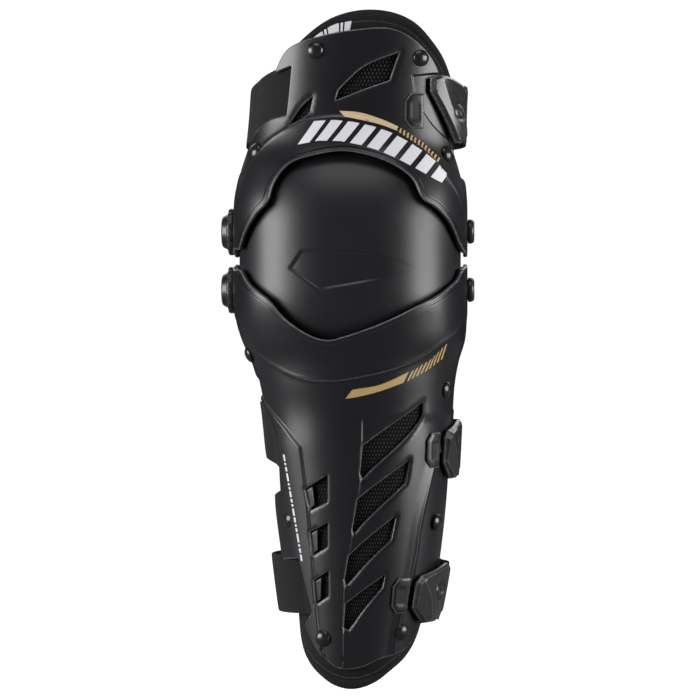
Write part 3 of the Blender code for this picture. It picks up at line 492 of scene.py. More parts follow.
# %% Flat drawing: paths, distances and insides
def path(points, closed=True, corner=38.0, step=0.0013):
    """Cubic Hermite curve through the points; it stays sharp where it turns by more than corner degrees."""
    p = np.asarray(points, float)
    ahead = np.roll(p, -1, axis=0) - p
    reach = np.linalg.norm(ahead, axis=1)
    leave = ahead / reach[:, None]
    arrive = np.roll(leave, 1, axis=0)
    if not closed:
        arrive[0], leave[-1] = leave[0], arrive[-1]
    middle = leave + arrive
    middle /= np.maximum(np.linalg.norm(middle, axis=1, keepdims=True), 1e-9)
    gentle = (np.sum(leave * arrive, axis=1) > math.cos(math.radians(corner)))[:, None]
    leave, arrive = np.where(gentle, middle, leave), np.where(gentle, middle, arrive)
    runs = []
    for i in range(len(p) if closed else len(p) - 1):
        j = (i + 1) % len(p)
        t = np.linspace(0, 1, max(2, math.ceil(reach[i] / step) + 1))[:-1, None]
        run = (1 + 2 * t) * (1 - t) ** 2 * p[i] + t * (1 - t) ** 2 * leave[i] * reach[i]
        runs.append(run + t * t * (3 - 2 * t) * p[j] + t * t * (t - 1) * arrive[j] * reach[i])
    if not closed:
        runs.append(p[-1:])
    return np.concatenate(runs)


COARSE, FAR = 10, 0.0135


def nearest(points, starts, ends):
    """Distance from each point to the nearest of the segments, and that distance with the side's sign.

    On a long border only the points near it are measured exactly; one in ten of the
    segments is enough to find them, and gives the rest their distance.
    """
    if len(starts) <= 400 or len(points) == 0:
        return measured(points, starts, ends)
    rough = measured(points, starts[::COARSE], starts[::COARSE])[0]
    away, signed = rough.copy(), rough.copy()
    close = rough < FAR
    away[close], signed[close] = measured(points[close], starts, ends)
    return away, signed


def measured(points, starts, ends):
    """The same, for every point and every segment."""
    if len(points) == 0:
        return np.zeros(0), np.zeros(0)
    away, signed = [], []
    run = ends - starts
    square = np.maximum(np.sum(run * run, axis=1), 1e-18)
    for some in np.array_split(points, max(1, len(points) * len(starts) // 3_000_000 + 1)):
        to = some[:, None, :] - starts[None]
        t = np.clip(np.sum(to * run[None], axis=2) / square, 0, 1)
        gap = to - t[..., None] * run[None]
        length = np.sqrt(np.sum(gap * gap, axis=2))
        best = np.argmin(length, axis=1)
        row = np.arange(len(some))
        turn = run[best, 0] * to[row, best, 1] - run[best, 1] * to[row, best, 0]
        away.append(length[row, best])
        signed.append(np.where(turn >= 0, 1, -1) * length[row, best])
    return np.concatenate(away), np.concatenate(signed)


def left_of(points, line):
    """Signed distance from an open line, positive on its left as it runs."""
    return nearest(points, line[:-1], line[1:])[1]


def off(points, line):
    """Distance from an open line."""
    return nearest(points, line[:-1], line[1:])[0]


def inside(points, loops):
    """Even-odd rule: a ray from each point crosses the loops an odd number of times."""
    crossings = np.zeros(len(points), int)
    for loop in loops:
        a, b = loop, np.roll(loop, -1, axis=0)
        for part in np.array_split(np.arange(len(points)), max(1, len(points) * len(a) // 3_000_000 + 1)):
            x, y = points[part, 0:1], points[part, 1:2]
            spans = (a[None, :, 1] > y) != (b[None, :, 1] > y)
            climb = b[None, :, 1] - a[None, :, 1]
            rate = (y - a[None, :, 1]) / np.where(climb == 0, 1, climb)
            crossings[part] += np.sum(spans & (x < a[None, :, 0] + rate * (b - a)[None, :, 0]), axis=1)
    return crossings % 2 == 1


def area_of(loop):
    """Shoelace area, positive for a loop that runs anticlockwise."""
    return 0.5 * float(np.sum(loop[:, 0] * np.roll(loop[:, 1], -1) - np.roll(loop[:, 0], -1) * loop[:, 1]))


# %% Flat drawing: triangles
LIP_RINGS = (0.00012, 0.0004, 0.0008, 0.0013)


BESIDE_LINES = (-0.0017, -0.0011, -0.0006, -0.0002, 0.0002, 0.0006, 0.0011, 0.0017)


def triangles(outline, holes=(), spacing=0.0019, rings=LIP_RINGS, lines=(), gaps=BESIDE_LINES):
    """Flat points, anticlockwise triangles, each point's distance from the border, and the border's edges.

    Staggered points fill the region, closer rows follow its border and the lines
    where its relief changes, and a constrained Delaunay triangulation joins them.
    """
    loops = [outline if area_of(outline) > 0 else outline[::-1]]
    loops += [hole if area_of(hole) < 0 else hole[::-1] for hole in holes]
    starts = np.concatenate(loops)
    ends = np.concatenate([np.roll(loop, -1, axis=0) for loop in loops])
    ways = np.concatenate([np.roll(loop, -1, axis=0) - np.roll(loop, 1, axis=0) for loop in loops])
    ways /= np.maximum(np.linalg.norm(ways, axis=1, keepdims=True), 1e-9)
    inward = np.stack([-ways[:, 1], ways[:, 0]], axis=1)
    clouds = []
    for ring in rings:
        cloud = starts + inward * ring
        keep = (nearest(cloud, starts, ends)[0] > 0.9 * ring) & inside(cloud, loops)
        clouds.append(cloud[keep])
    border_limit = (rings[-1] if rings else 0) + 0.0002
    for line in lines:
        way = np.gradient(line, axis=0)
        way /= np.linalg.norm(way, axis=1, keepdims=True)
        beside = [line + np.stack([-way[:, 1], way[:, 0]], axis=1) * gap for gap in gaps]
        cloud = np.concatenate(beside)
        cloud = cloud[inside(cloud, loops)]
        clouds.append(cloud[nearest(cloud, starts, ends)[0] > border_limit])
    low, high = starts.min(0), starts.max(0)
    columns = np.arange(low[0], high[0], spacing)
    rows = np.arange(low[1], high[1], spacing * 0.866)
    grid = np.stack(np.meshgrid(columns, rows), axis=-1)
    grid[1::2, :, 0] += spacing / 2
    grid = grid.reshape(-1, 2)
    grid = grid[inside(grid, loops)]
    limit = (rings[-1] if rings else 0) + 0.55 * spacing
    grid = grid[nearest(grid, starts, ends)[0] > limit]
    for line in lines:
        grid = grid[off(grid, line) > gaps[-1] + 0.4 * spacing]
    clouds.append(grid)
    points = np.concatenate([starts, *clouds])
    edges, first = [], 0
    for loop in loops:
        index = first + np.arange(len(loop))
        edges += np.stack([index, np.roll(index, -1)], axis=1).tolist()
        first += len(loop)
    places, _, faces, *_ = delaunay_2d_cdt([Vector(p) for p in points], edges, [], 0, 1e-7)
    places, faces = np.array([tuple(p) for p in places]), np.array(faces)
    distance = nearest(places, starts, ends)[0]
    held = np.all(distance[faces] < 1e-7, axis=1)
    kept = ~held
    kept[held] = inside(places[faces[held]].mean(axis=1), loops)
    faces = faces[kept]
    a, b, c = (places[faces[:, k]] for k in range(3))
    turn = (b - a)[:, 0] * (c - a)[:, 1] - (b - a)[:, 1] * (c - a)[:, 0]
    faces = np.where((turn < 0)[:, None], faces[:, ::-1], faces)
    used, faces = np.unique(faces, return_inverse=True)
    faces = faces.reshape(-1, 3)
    places = places[used]
    ways = np.concatenate([faces[:, [0, 1]], faces[:, [1, 2]], faces[:, [2, 0]]])
    key = ways[:, 0] * len(places) + ways[:, 1]
    border = ways[~np.isin(key, ways[:, 1] * len(places) + ways[:, 0])]
    return places, faces, distance[used], border


# %% From arrays to objects
def piece(name, points, faces, material, flat=None, rim=None, smooth=40.0):
    """A mesh object from arrays, with its flat map, its rim values and one material."""
    mesh = bpy.data.meshes.new(name)
    faces = faces.tolist() if isinstance(faces, np.ndarray) else faces
    mesh.from_pydata(points.reshape(-1, 3).tolist(), [], faces)
    if flat is not None:
        corner = np.zeros(len(mesh.loops), np.int32)
        mesh.loops.foreach_get("vertex_index", corner)
        layer = mesh.uv_layers.new(name="flat")
        layer.data.foreach_set("uv", flat.reshape(-1, 2)[corner].astype(np.float32).ravel())
    if rim is not None:
        layer = mesh.attributes.new("rim", "FLOAT", "POINT")
        layer.data.foreach_set("value", np.asarray(rim, np.float32).ravel())
    mesh.materials.append(material)
    mesh.shade_smooth()
    if smooth:
        mesh.set_sharp_from_angle(angle=math.radians(smooth))
    made = bpy.data.objects.new(name, mesh)
    bpy.context.collection.objects.link(made)
    return made


def lip(distance, radius):
    """How far a rounded edge falls below the face: r - sqrt(r^2 - (r - d)^2)."""
    inner = np.clip(radius - distance, 0, radius)
    return radius - np.sqrt(radius**2 - inner**2)


def walls(border, count):
    """Quads between the border of an upper face and that of the lower face, count points on."""
    return np.stack([border[:, 1], border[:, 0], border[:, 0] + count, border[:, 1] + count], axis=1)


def belongs(made, body, node=None):
    """A piece rides on a body, and stands for a CAD node if one is named."""
    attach(made, body)
    if node:
        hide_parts(node)


def shell_of(name, drawing, place, top, under, material, outer_lip=0.0009, inner_lip=0.0010, rim=0.0):
    """A closed wall between two lifts of a flat drawing, with rounded edges."""
    flat, faces, distance, border = drawing
    over = place(flat, top - lip(distance, outer_lip))
    below = place(flat, under + lip(distance, inner_lip))
    count = len(flat)
    points = np.concatenate([over, below])
    all_faces = faces.tolist() + (faces[:, ::-1] + count).tolist()
    all_faces += walls(border, count).tolist()
    # Edges painted paler, partly as wear and partly as a painted highlight; the inner face gets 30 per cent
    # of it.
    wear_and_highlight = np.maximum(np.exp(-((distance / 0.0011) ** 2)), rim)
    wear_and_highlight = np.concatenate([wear_and_highlight, wear_and_highlight * 0.3])
    return piece(name, points, all_faces, material, np.concatenate([flat, flat]), wear_and_highlight)


# %% [markdown]
# ## Thigh cuff
# The cuff is one injection moulding.  Round the arch over the knee it has a raised
# collar with a fine step inside its lip, and vents with rounded mouths.  It could
# be a modelled mesh under a subdivision surface; drawn flat and triangulated, its
# outline and its vents may have any shape and the wall keeps its thickness.

# %% Cuff drawing
ARCH = (
    (-74, 6.1), (-69.2, 18), (-61.8, 29.2), (-53.3, 38.3), (-50, 49.2), (-44.7, 58),
    (-37.9, 64), (-24.3, 68.6), (-2, 71.8), (19.6, 67.6), (36.4, 60.2), (45.8, 52.2),
    (52.5, 39.4), (60.4, 34.3), (69.7, 24.5), (75.6, 11.4),
)
CUFF_TOP_EDGE = (
    (70.7, 77.9), (62.8, 124.7), (55.2, 139), (42.1, 150.2), (29.5, 154.9), (10.6, 154.5), (-17.2, 150.2),
    (-40.1, 142.7), (-44.3, 138.3), (-50.1, 126.4), (-38, 130.4), (-41.4, 97.3), (-53.6, 94.5), (-66.8, 82),
    (-74.9, 60.2),
)
CUFF_VENT_SHAPES = (
    ((-7.7, 106.6), (-5.6, 113.3), (1.1, 120), (12.6, 129.4), (36.1, 139), (34.1, 133.6), (29.4, 120)),
    ((-39.9, 90.4), (-31.6, 102.3), (-23.3, 109.5), (-25.4, 98.7), (-30.2, 94.8)),
)
CLIP_POCKET = ((44.1, 123.7), (66, 125), (76, 108), (79, 92), (75.5, 74), (60, 88), (47, 108))
CUFF_CREASE = (
    (-77, 36), (-72.5, 47.3), (-69.1, 57.5), (-63.4, 68.9), (-52.6, 80.7), (-39.9, 88.3), (-31.6, 92.8),
    (-19.9, 94.6), (-4, 95.5), (14, 93), (32, 87), (48, 77.5), (60, 65.5), (69, 52), (75.5, 40.2),
)


def ear_arc(axis, way, side):
    """The rounded end of a shell round its pivot, from its front corner to its back."""
    turn = np.radians(np.linspace(-118, -12, 12))
    y, z = EAR_RADIUS * np.cos(turn) / MM, axis / MM + way * EAR_RADIUS * np.sin(turn) / MM
    start = [(-34, axis / MM - way * 13.0), (-21, axis / MM - way * 15.6)]
    return start + list(zip(y, z)) if side > 0 else (start + list(zip(y, z)))[::-1]


def bush_hole(leg, side):
    """The hole for the bush, seen from the side."""
    turn = np.linspace(0, 2 * np.pi, 25)[:-1]
    return leg.beside(side, *zip(5.3 * np.cos(turn), leg.axis / MM + 5.3 * np.sin(turn)))


cuff_outline = path(
    np.concatenate([
        cuff_leg.front(*ARCH),
        cuff_leg.beside(1, *ear_arc(UPPER_AXIS, 1, 1)),
        cuff_leg.beside(1, (15.2, 33.5), (4, 47.2), (-10, 53.8), (-27, 56.5)),
        cuff_leg.front(*CUFF_TOP_EDGE),
        cuff_leg.beside(-1, (-8, 53.5), (4, 47.2), (15.2, 33.5)),
        cuff_leg.beside(-1, *ear_arc(UPPER_AXIS, 1, -1)),
    ])
)
cuff_arch = path(cuff_leg.front(*ARCH), closed=False)
cuff_crease = path(cuff_leg.front(*CUFF_CREASE), closed=False)
cuff_vents = [path(cuff_leg.front(*vent), corner=30) for vent in CUFF_VENT_SHAPES]
cuff_holes = cuff_vents + [bush_hole(cuff_leg, side) for side in (-1, 1)]


def near_ear(leg, flat):
    """1 at a pivot's seat, falling to 0 outside it, so that no relief runs under a knob."""
    base = leg.place(flat)
    from_axis = np.hypot(base[:, 1], base[:, 2] - leg.axis)
    return (1 - rise(0.0185, 0.027, from_axis)) * (np.abs(base[:, 0]) > 0.07)


def cuff_relief(flat):
    """Collar raised inside the crease, a step inside its lip, and a ridge along the crease."""
    into_collar = -left_of(flat, cuff_crease)
    height = 0.0011 * rise(-0.0008, 0.0012, into_collar)
    height += 0.0005 * np.exp(-((into_collar / 0.0011) ** 2))
    lipwards = off(flat, cuff_arch)
    height -= 0.0007 * (1 - rise(0.0030, 0.0036, lipwards))
    for vent in cuff_vents:
        away = nearest(flat, vent, np.roll(vent, -1, axis=0))[0]
        height -= 0.0006 * (1 - rise(0.0006, 0.0034, away))
    pocket = path(cuff_leg.front(*CLIP_POCKET))
    within = nearest(flat, pocket, np.roll(pocket, -1, axis=0))[0] * np.where(inside(flat, [pocket]), 1, -1)
    height -= 0.0010 * rise(-0.0004, 0.0010, within)
    return height * (1 - near_ear(cuff_leg, flat))


def beside_line(line, distance):
    """A line moved to its left by a distance."""
    way = np.gradient(line, axis=0)
    way /= np.linalg.norm(way, axis=1, keepdims=True)
    return line + np.stack([-way[:, 1], way[:, 0]], axis=1) * distance


cuff_lines = [cuff_crease, beside_line(cuff_arch, 0.0033), path(cuff_leg.front(*CLIP_POCKET))]
cuff_drawing = triangles(cuff_outline, cuff_holes, lines=cuff_lines)
# A painted highlight: a pale line painted along the crease's ridge, kept off the pivots' seats.
crease_highlight = 0.75 * np.exp(-((off(cuff_drawing[0], cuff_crease) / 0.0009) ** 2))
crease_highlight *= 1 - near_ear(cuff_leg, cuff_drawing[0])
height = cuff_relief(cuff_drawing[0])
cuff = shell_of("cuff_moulding", cuff_drawing, cuff_leg.place, height, -WALL, shell_black, rim=crease_highlight)
belongs(cuff, "thigh", "thigh_cuff")
print("cuff", len(cuff_drawing[1]) * 2, "triangles")

# %% [markdown]
# ## Shin shell
# Also one moulding: a collar like the cuff's, a flat panel raised down the left
# side, ribbed windows at the right over spacer mesh, three small windows beside
# the panel, and a crease where the right side turns away.

# %% Shin drawing
COLLAR_V = (
    (-73.2, -7.6), (-66.9, -16.6), (-59.5, -22.9), (-53, -27.7), (-39.2, -42.6), (-19.5, -54), (-10.1, -55.3),
    (-2, -53.3), (23.5, -44.6), (52.6, -30.5), (60.5, -26.4), (69.7, -19.4), (76.4, -10.9),
)
SHIN_CREASE = (
    (-79, -30), (-75.9, -39.4), (-69.2, -53.1), (-58, -65.4), (-45, -74.8), (-31, -80.8), (-10.4, -82.8),
    (9.8, -80.1), (29.8, -75.4), (49.7, -67.4), (62.9, -57.9), (72.9, -49.1), (79, -36),
)
SHIN_WINDOWS = (
    ((11.5, -126.5), (52.2, -97.1), (52.1, -105.9), (50.1, -110), (11.4, -148.1), (9.4, -145.4)),
    ((7.3, -163), (43.5, -136.2), (40.8, -151.7), (5.2, -185.3), (3.9, -183.2)),
    ((1.1, -200.9), (34.1, -173.9), (30.7, -190.1), (-0.3, -220.5), (-1.7, -217.2)),
    ((-1, -233.5), (26, -214.5), (24.6, -222.6), (0.9, -251.1), (-2.5, -249.8)),
)
SMALL_WINDOWS = (
    ((-28.3, -156), (-12.9, -146.2), (-13, -164.5), (-24.9, -170.2)),
    ((-25, -185.2), (-13.1, -178.7), (-13.2, -195), (-23, -200.8)),
    ((-22.4, -217.8), (-12.6, -211.3), (-12.7, -228.3), (-21.1, -234.1)),
)
PANEL_EDGE = (
    (-71, -76), (-60, -92.9), (-44, -112), (-30.8, -127.5), (-28.9, -143.1), (-23, -204.2), (-19, -248.4),
    (-17, -262),
)
RIGHT_CREASE = (
    (76, -104), (74.3, -110.5), (60, -134.1), (54.7, -157), (50, -177.2), (44.6, -211.1), (35.8, -244.9),
    (30, -280),
)
RIDGE = ((10.4, -110), (9.4, -146), (3.9, -184), (-1.9, -219), (-2.8, -250), (-3, -268))

shin_outline = path(
    np.concatenate([
        shin_leg.front(*COLLAR_V),
        shin_leg.beside(1, *ear_arc(LOWER_AXIS, -1, 1)),
        shin_leg.beside(1, (14, -44.2), (7, -76.2), (0, -110.2), (-2, -160.2), (-6, -210), (-8, -236)),
        shin_leg.front((52, -243), (49, -246), (47.5, -257.4), (39, -265.9), (23.7, -271)),
        shin_leg.front((8, -277.2), (-8.1, -276.5)),
        shin_leg.front((-19.9, -265.5), (-28.4, -249.1), (-23.2, -239.7), (-32.3, -203.4), (-44.8, -206.3)),
        shin_leg.front((-49.4, -172), (-49.8, -161), (-45.2, -157.6), (-47, -130.1), (-49.8, -116.6)),
        shin_leg.front((-59.3, -96.4), (-61.9, -82.6), (-68, -75)),
        shin_leg.beside(-1, (-12, -65), (4, -61), (12.6, -52), (14, -44.2)),
        shin_leg.beside(-1, *ear_arc(LOWER_AXIS, -1, -1)),
    ])
)
shin_collar = path(shin_leg.front(*COLLAR_V), closed=False)
shin_crease = path(shin_leg.front(*SHIN_CREASE), closed=False)
panel_edge = path(shin_leg.front(*PANEL_EDGE), closed=False)
right_crease = path(shin_leg.front(*RIGHT_CREASE), closed=False)
ridge_line = path(shin_leg.front(*RIDGE), closed=False)
windows = [path(shin_leg.front(*window), corner=30) for window in SHIN_WINDOWS]
small_windows = [path(shin_leg.front(*window), corner=30) for window in SMALL_WINDOWS]
shin_holes = windows + small_windows + [bush_hole(shin_leg, side) for side in (-1, 1)]


def shin_relief(flat):
    """Collar, left panel, central ridge, right facet and sunk window mouths, added up."""
    into_collar = left_of(flat, shin_crease)
    height = 0.0011 * rise(-0.0008, 0.0012, into_collar)
    height += 0.0005 * np.exp(-((into_collar / 0.0011) ** 2))
    height -= 0.0007 * (1 - rise(0.0030, 0.0036, off(flat, shin_collar)))
    below_collar = rise(0.0, 0.008, -into_collar)
    on_panel = -left_of(flat, panel_edge)
    height += 0.0016 * rise(-0.0006, 0.0010, on_panel) * below_collar
    beyond = left_of(flat, right_crease)
    height += 0.0007 * np.exp(-((beyond / 0.0016) ** 2)) * below_collar
    height -= 0.0010 * rise(0.0, 0.004, beyond) * below_collar
    between_windows = rise(0.0, 0.0018, left_of(flat, ridge_line)) * rise(0.104, 0.112, -flat[:, 1])
    height -= 0.0009 * between_windows * (1 - rise(-0.010, -0.002, beyond)) * below_collar
    for window in windows:
        away = nearest(flat, window, np.roll(window, -1, axis=0))[0]
        height -= 0.0006 * (1 - rise(0.0006, 0.0030, away))
    return height * (1 - near_ear(shin_leg, flat))


shin_lines = [shin_crease, beside_line(shin_collar, -0.0033), panel_edge, right_crease, ridge_line]
shin_drawing = triangles(shin_outline, shin_holes, lines=shin_lines)
flat_points = shin_drawing[0]
# Painted highlights: pale lines painted along the collar's crease, the panel's edge and the right crease,
# kept off the pivots' seats.
crease_highlight = 0.75 * np.exp(-((off(flat_points, shin_crease) / 0.0009) ** 2))
crease_highlight = np.maximum(crease_highlight, 0.6 * np.exp(-((off(flat_points, panel_edge) / 0.0009) ** 2)))
crease_highlight = np.maximum(crease_highlight, 0.5 * np.exp(-((off(flat_points, right_crease) / 0.0010) ** 2)))
crease_highlight *= 1 - near_ear(shin_leg, flat_points)


def lower_side(window):
    """The points of a window under the line from its leftmost to its rightmost point."""
    left, right = window[np.argmin(window[:, 0])], window[np.argmax(window[:, 0])]
    return window[window[:, 1] < np.interp(window[:, 0], (left[0], right[0]), (left[1], right[1]))]


# The lower lips of the windows are rounder than the other edges.
LIP, LOWER_LIP, LOWER_LIP_REACH = 0.0009, 0.0016, 0.002
lip_radius = np.full(len(flat_points), LIP)
for window in small_windows + windows:
    low = lower_side(window)[::2]
    away = np.hypot(flat_points[:, None, 0] - low[:, 0], flat_points[:, None, 1] - low[:, 1]).min(axis=1)
    lip_radius[away < LOWER_LIP_REACH] = LOWER_LIP
height = shin_relief(flat_points)
shin = shell_of(
    "shin_moulding", shin_drawing, shin_leg.place, height, -WALL, shell_black, lip_radius, rim=crease_highlight
)
belongs(shin, "shin", "shin_shell")
for number, window in enumerate(SMALL_WINDOWS, 1):
    (x0, z0), (x3, z3) = window[0], window[3]
    corners = (x0 - 1.5, z0 - 2), (x0 + 4.5, z0 + 1.5), (x3 + 2.5, z3 + 3.5), (x3 - 1.5, z3)
    drawing = triangles(path(shin_leg.front(*corners), corner=20), (), 0.0014, (0.0003, 0.0008))
    # Each tab is painted a little paler all over (rim values of at least 0.35), a painted sheen.
    tab = shell_of(
        f"window_tab_{number}", drawing, shin_leg.place, -0.0008, -0.0024, shell_black, 0.0005, 0.0003, 0.35
    )
    belongs(tab, "shin")
print("shin", len(shin_drawing[1]) * 2, "triangles")

# %% [markdown]
# ## Knee cup
# The cup is a plain shallow bowl over the knee, round about both hinge axes so that
# the shells glide over it at any bend.  Its one ornament is a sunk six-sided field.
# The bowl is a solid of that form, hollowed by a smaller one and cut to its link
# plates, as the real one's tool is made from a core and a cavity.

# %% Cup
CUP_HALF, CUP_RADIUS, CUP_POWER, CUP_FACE = 0.0770, 0.0760, 2.5, 0.0760
CUP_REACH = math.radians(47)
FIELD = ((-37.3, -7), (-29.1, 4.3), (-16.8, 3.6), (33.3, -1.1), (46, -7), (31.9, -11.8), (-16.8, -21.2))
field = path(np.array(FIELD) * MM, corner=20)


def field_depth(x, z):
    """Depth of the sunk field: steep at its left, fading out to its right."""
    flat = np.stack([x.ravel(), z.ravel()], axis=1)
    away = nearest(flat, field, np.roll(field, -1, axis=0))[0]
    within = rise(-0.0002, 0.0011, away) * inside(flat, [field])
    groove = np.exp(-((away / 0.0008) ** 2))
    fade = 1 - 0.92 * rise(0.008, 0.034, flat[:, 0])
    return (0.0011 * within + 0.0006 * groove).reshape(x.shape) * fade.reshape(x.shape)


def bowl(name, thinner, marked):
    """The cup's solid form: a superellipse across, turned about both hinge axes."""
    half, radius, face = CUP_HALF - thinner, CUP_RADIUS - thinner, CUP_FACE - thinner
    middle = np.linspace(-0.048, 0.048, 161 if marked else 31)
    edge = 0.048 + (face - 0.048) * np.sin(np.linspace(0, math.pi / 2, 46)[1:])
    x = np.concatenate([-edge[::-1], middle, edge])
    r = radius * (1 - (np.abs(x) / half) ** CUP_POWER) ** (1 / CUP_POWER)
    up = np.radians(np.concatenate([np.linspace(0, 110, 12)[:-1], np.linspace(110, 180, 50)]))
    straight = np.linspace(UPPER_AXIS, LOWER_AXIS, 73 if marked else 9)[1:-1]
    turn = np.concatenate([up, np.full(len(straight), math.pi), 2 * math.pi - up[::-1]])
    centre = np.concatenate([np.full(len(up), UPPER_AXIS), straight, np.full(len(up), LOWER_AXIS)])
    grid_x = np.broadcast_to(x[:, None], (len(x), len(turn)))
    height = centre[None, :] + r[:, None] * np.sin(turn)[None, :]
    reach = r[:, None] * np.cos(turn)[None, :]
    if marked:
        reach = reach + field_depth(grid_x, height) * (np.cos(turn) < -0.8)[None, :]
    points = np.stack([grid_x, reach, height], axis=-1)
    index = np.arange(points.shape[0] * points.shape[1]).reshape(points.shape[:2])
    beside = np.roll(index, -1, axis=1)
    quads = np.stack([index[:-1], index[1:], beside[1:], beside[:-1]], axis=-1).reshape(-1, 4)
    faces = quads.tolist() + [index[0].tolist(), index[-1, ::-1].tolist()]
    return piece(name, points, faces, cup_black)


def along_x(name, outline, reach=0.1):
    """An outline seen from the side as a bar along X."""
    loop = np.asarray(outline)
    ends = [np.column_stack([np.full(len(loop), x), loop]) for x in (-reach, reach)]
    count = len(loop)
    index = np.arange(count)
    after = np.roll(index, -1)
    walls = np.stack([index, after, after + count, index + count], axis=1)
    faces = walls.tolist() + [index[::-1].tolist(), (index + count).tolist()]
    return piece(name, np.concatenate(ends), faces, cup_black)


def cut(target, operation, tool):
    """Apply an exact Boolean and throw the tool away."""
    modifier = target.modifiers.new(operation, "BOOLEAN")
    modifier.operation, modifier.solver, modifier.object = operation, "EXACT", tool
    bpy.context.view_layer.update()
    result = bpy.data.meshes.new_from_object(target.evaluated_get(bpy.context.evaluated_depsgraph_get()))
    target.modifiers.clear()
    target.data = result
    bpy.data.objects.remove(tool, do_unlink=True)


turn = np.radians(np.linspace(0, 108, 28))
plate_side = np.stack([EAR_RADIUS * np.cos(turn), UPPER_AXIS + EAR_RADIUS * np.sin(turn)], axis=1)
rim_point = np.array((-CUP_RADIUS * math.cos(CUP_REACH), UPPER_AXIS + CUP_RADIUS * math.sin(CUP_REACH)))
upper_half = np.concatenate([plate_side, [2 * rim_point - plate_side[-1]]])
cup_side = np.concatenate([upper_half, upper_half[::-1] * (1, -1)])
cup = bowl("cup_moulding", 0.0, True)
cut(cup, "INTERSECT", along_x("cup_side", cup_side))
cut(cup, "DIFFERENCE", bowl("cup_hollow", WALL, False))
places = np.zeros(len(cup.data.vertices) * 3)
cup.data.vertices.foreach_get("co", places)
places = places.reshape(-1, 3)
# A pale line painted along the sunk field's edge at the front, fading to the right with the field: partly
# wear, partly a painted highlight.
gap = nearest(places[:, [0, 2]], field, np.roll(field, -1, axis=0))[0]
wear_and_highlight = 0.8 * np.exp(-((gap / 0.0005) ** 2)) * (places[:, 1] < -0.06) * (1 - rise(0.008, 0.034, places[:, 0]))
layer = cup.data.attributes.get("rim") or cup.data.attributes.new("rim", "FLOAT", "POINT")
layer.data.foreach_set("value", wear_and_highlight.astype(np.float32))
cup.data.shade_smooth()
cup.data.set_sharp_from_angle(angle=math.radians(32))
belongs(cup, "knee", "knee_cup")
print("cup", len(cup.data.polygons), "faces")

# %% [markdown]
# ## Turned parts
# Knobs and rivets are round, so each is a profile of radius and height turned about
# its own axis.  The big knobs at the inner side have scallops for the fingers and a
# six-sided socket, which are small changes of that radius with the angle; the outer
# side, which brushes past the machine, has low caps.

# %% Turning


def turned(profile, sides, change=None):
    """Points (rho cos t, rho sin t, h) of a profile (rho, h) from tip to tip, and their faces.

    change(rho, h, t) gives new rho and h at each angle t.
    """
    rho, h = np.array(profile, float).T
    t = np.arange(sides) * 2 * np.pi / sides
    rho, h, t = np.broadcast_arrays(rho[:, None], h[:, None], t[None, :])
    if change is not None:
        rho, h = change(rho, h, t)
    points = np.stack([rho * np.cos(t), rho * np.sin(t), h], axis=-1)
    index = np.arange(points.shape[0] * sides).reshape(points.shape[:2])
    beside = np.roll(index, -1, axis=1)
    quads = np.stack([index[:-1], beside[:-1], beside[1:], index[1:]], axis=-1).reshape(-1, 4)
    faces = quads.tolist() + [index[0, ::-1].tolist(), index[-1].tolist()]
    return points.reshape(-1, 3), faces


def seated(points, out, at):
    """Stand points whose axis is +Z on a place, along an outward direction."""
    turn = Vector(out).to_track_quat("Z", "Y").to_matrix()
    return points @ np.array(turn).T + np.asarray(at)


def fine(profile, step=0.00035, corner=50.0):
    """The profile in short steps, rounded where it turns gently."""
    return path(np.array(profile) * MM, closed=False, corner=corner, step=step)


KNOB_LINE = (
    (0.01, 0.0), (15.3, 0.0), (16.1, 0.3), (16.3, 1.0), (16.3, 3.0), (16.0, 3.6), (15.3, 3.9), (13.2, 4.2),
    (12.6, 4.6), (10.6, 7.9), (9.6, 8.5), (7.3, 8.7), (5.2, 8.7), (4.6, 8.6), (4.3, 8.1), (4.2, 7.3),
    (0.01, 7.2),
)
CAP_LINE = (
    (0.01, 0.0), (7.6, 0.0), (8.3, 0.25), (8.5, 0.9), (8.45, 2.2), (8.1, 3.3), (7.5, 4.1), (6.4, 4.5),
    (4.9, 4.5), (4.4, 4.35), (4.2, 3.9), (3.9, 3.7), (2.6, 3.75), (0.01, 3.9),
)


def scalloped(rho, h, t):
    """Twelve finger scallops in the rim and a six-sided socket in the cap."""
    rim = rise(0.0125, 0.0150, rho) * (h < 0.0040)
    rho = rho - 0.0007 * rim * rise(0.35, 0.95, np.cos(12 * t))
    sides = math.cos(math.pi / 6) / np.cos((t % (math.pi / 3)) - math.pi / 6)
    socket = (1 - rise(0.0040, 0.0054, rho)) * (h > 0.0065)
    return rho * (1 + socket * (sides - 1) * 0.9), h


def turned_highlights(points, radius):
    """Painted highlight values of a turned part: pale rings painted on its outer edge and the crown of its
    cap.
    """
    rho = np.hypot(points[:, 0], points[:, 1])
    return 0.8 * np.exp(-(((rho - radius) / 0.0007) ** 2)) + 0.5 * np.exp(-(((rho - 0.0098) / 0.0008) ** 2))


knob_points, knob_faces = turned(fine(KNOB_LINE), 96, scalloped)
knob_highlights = turned_highlights(knob_points, 0.0160)
low_points, low_faces = turned(fine(CAP_LINE), 72)
cap_highlights = turned_highlights(low_points, 0.0078)
for level, axis in (("upper", UPPER_AXIS), ("lower", LOWER_AXIS)):
    for side, side_name in ((-1, "inner"), (1, "outer")):
        node = f"{level}_{side_name}_pivot"
        at = (side * (EAR_OUTER + 0.0003), 0, axis)
        form, faces, wear_and_highlight = low_points, low_faces, cap_highlights
        if side < 0:
            form, faces, wear_and_highlight = knob_points, knob_faces, knob_highlights
        knob = piece(f"{node}_cap", seated(form, (side, 0, 0), at), faces, knob_black, rim=wear_and_highlight, smooth=50)
        belongs(knob, "knee", node + "_knob")
        for part, finish in (("bush", steel), ("screw", steel), ("washer", nylon)):
            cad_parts[f"{node}_{part}"].material_slots[0].material = finish

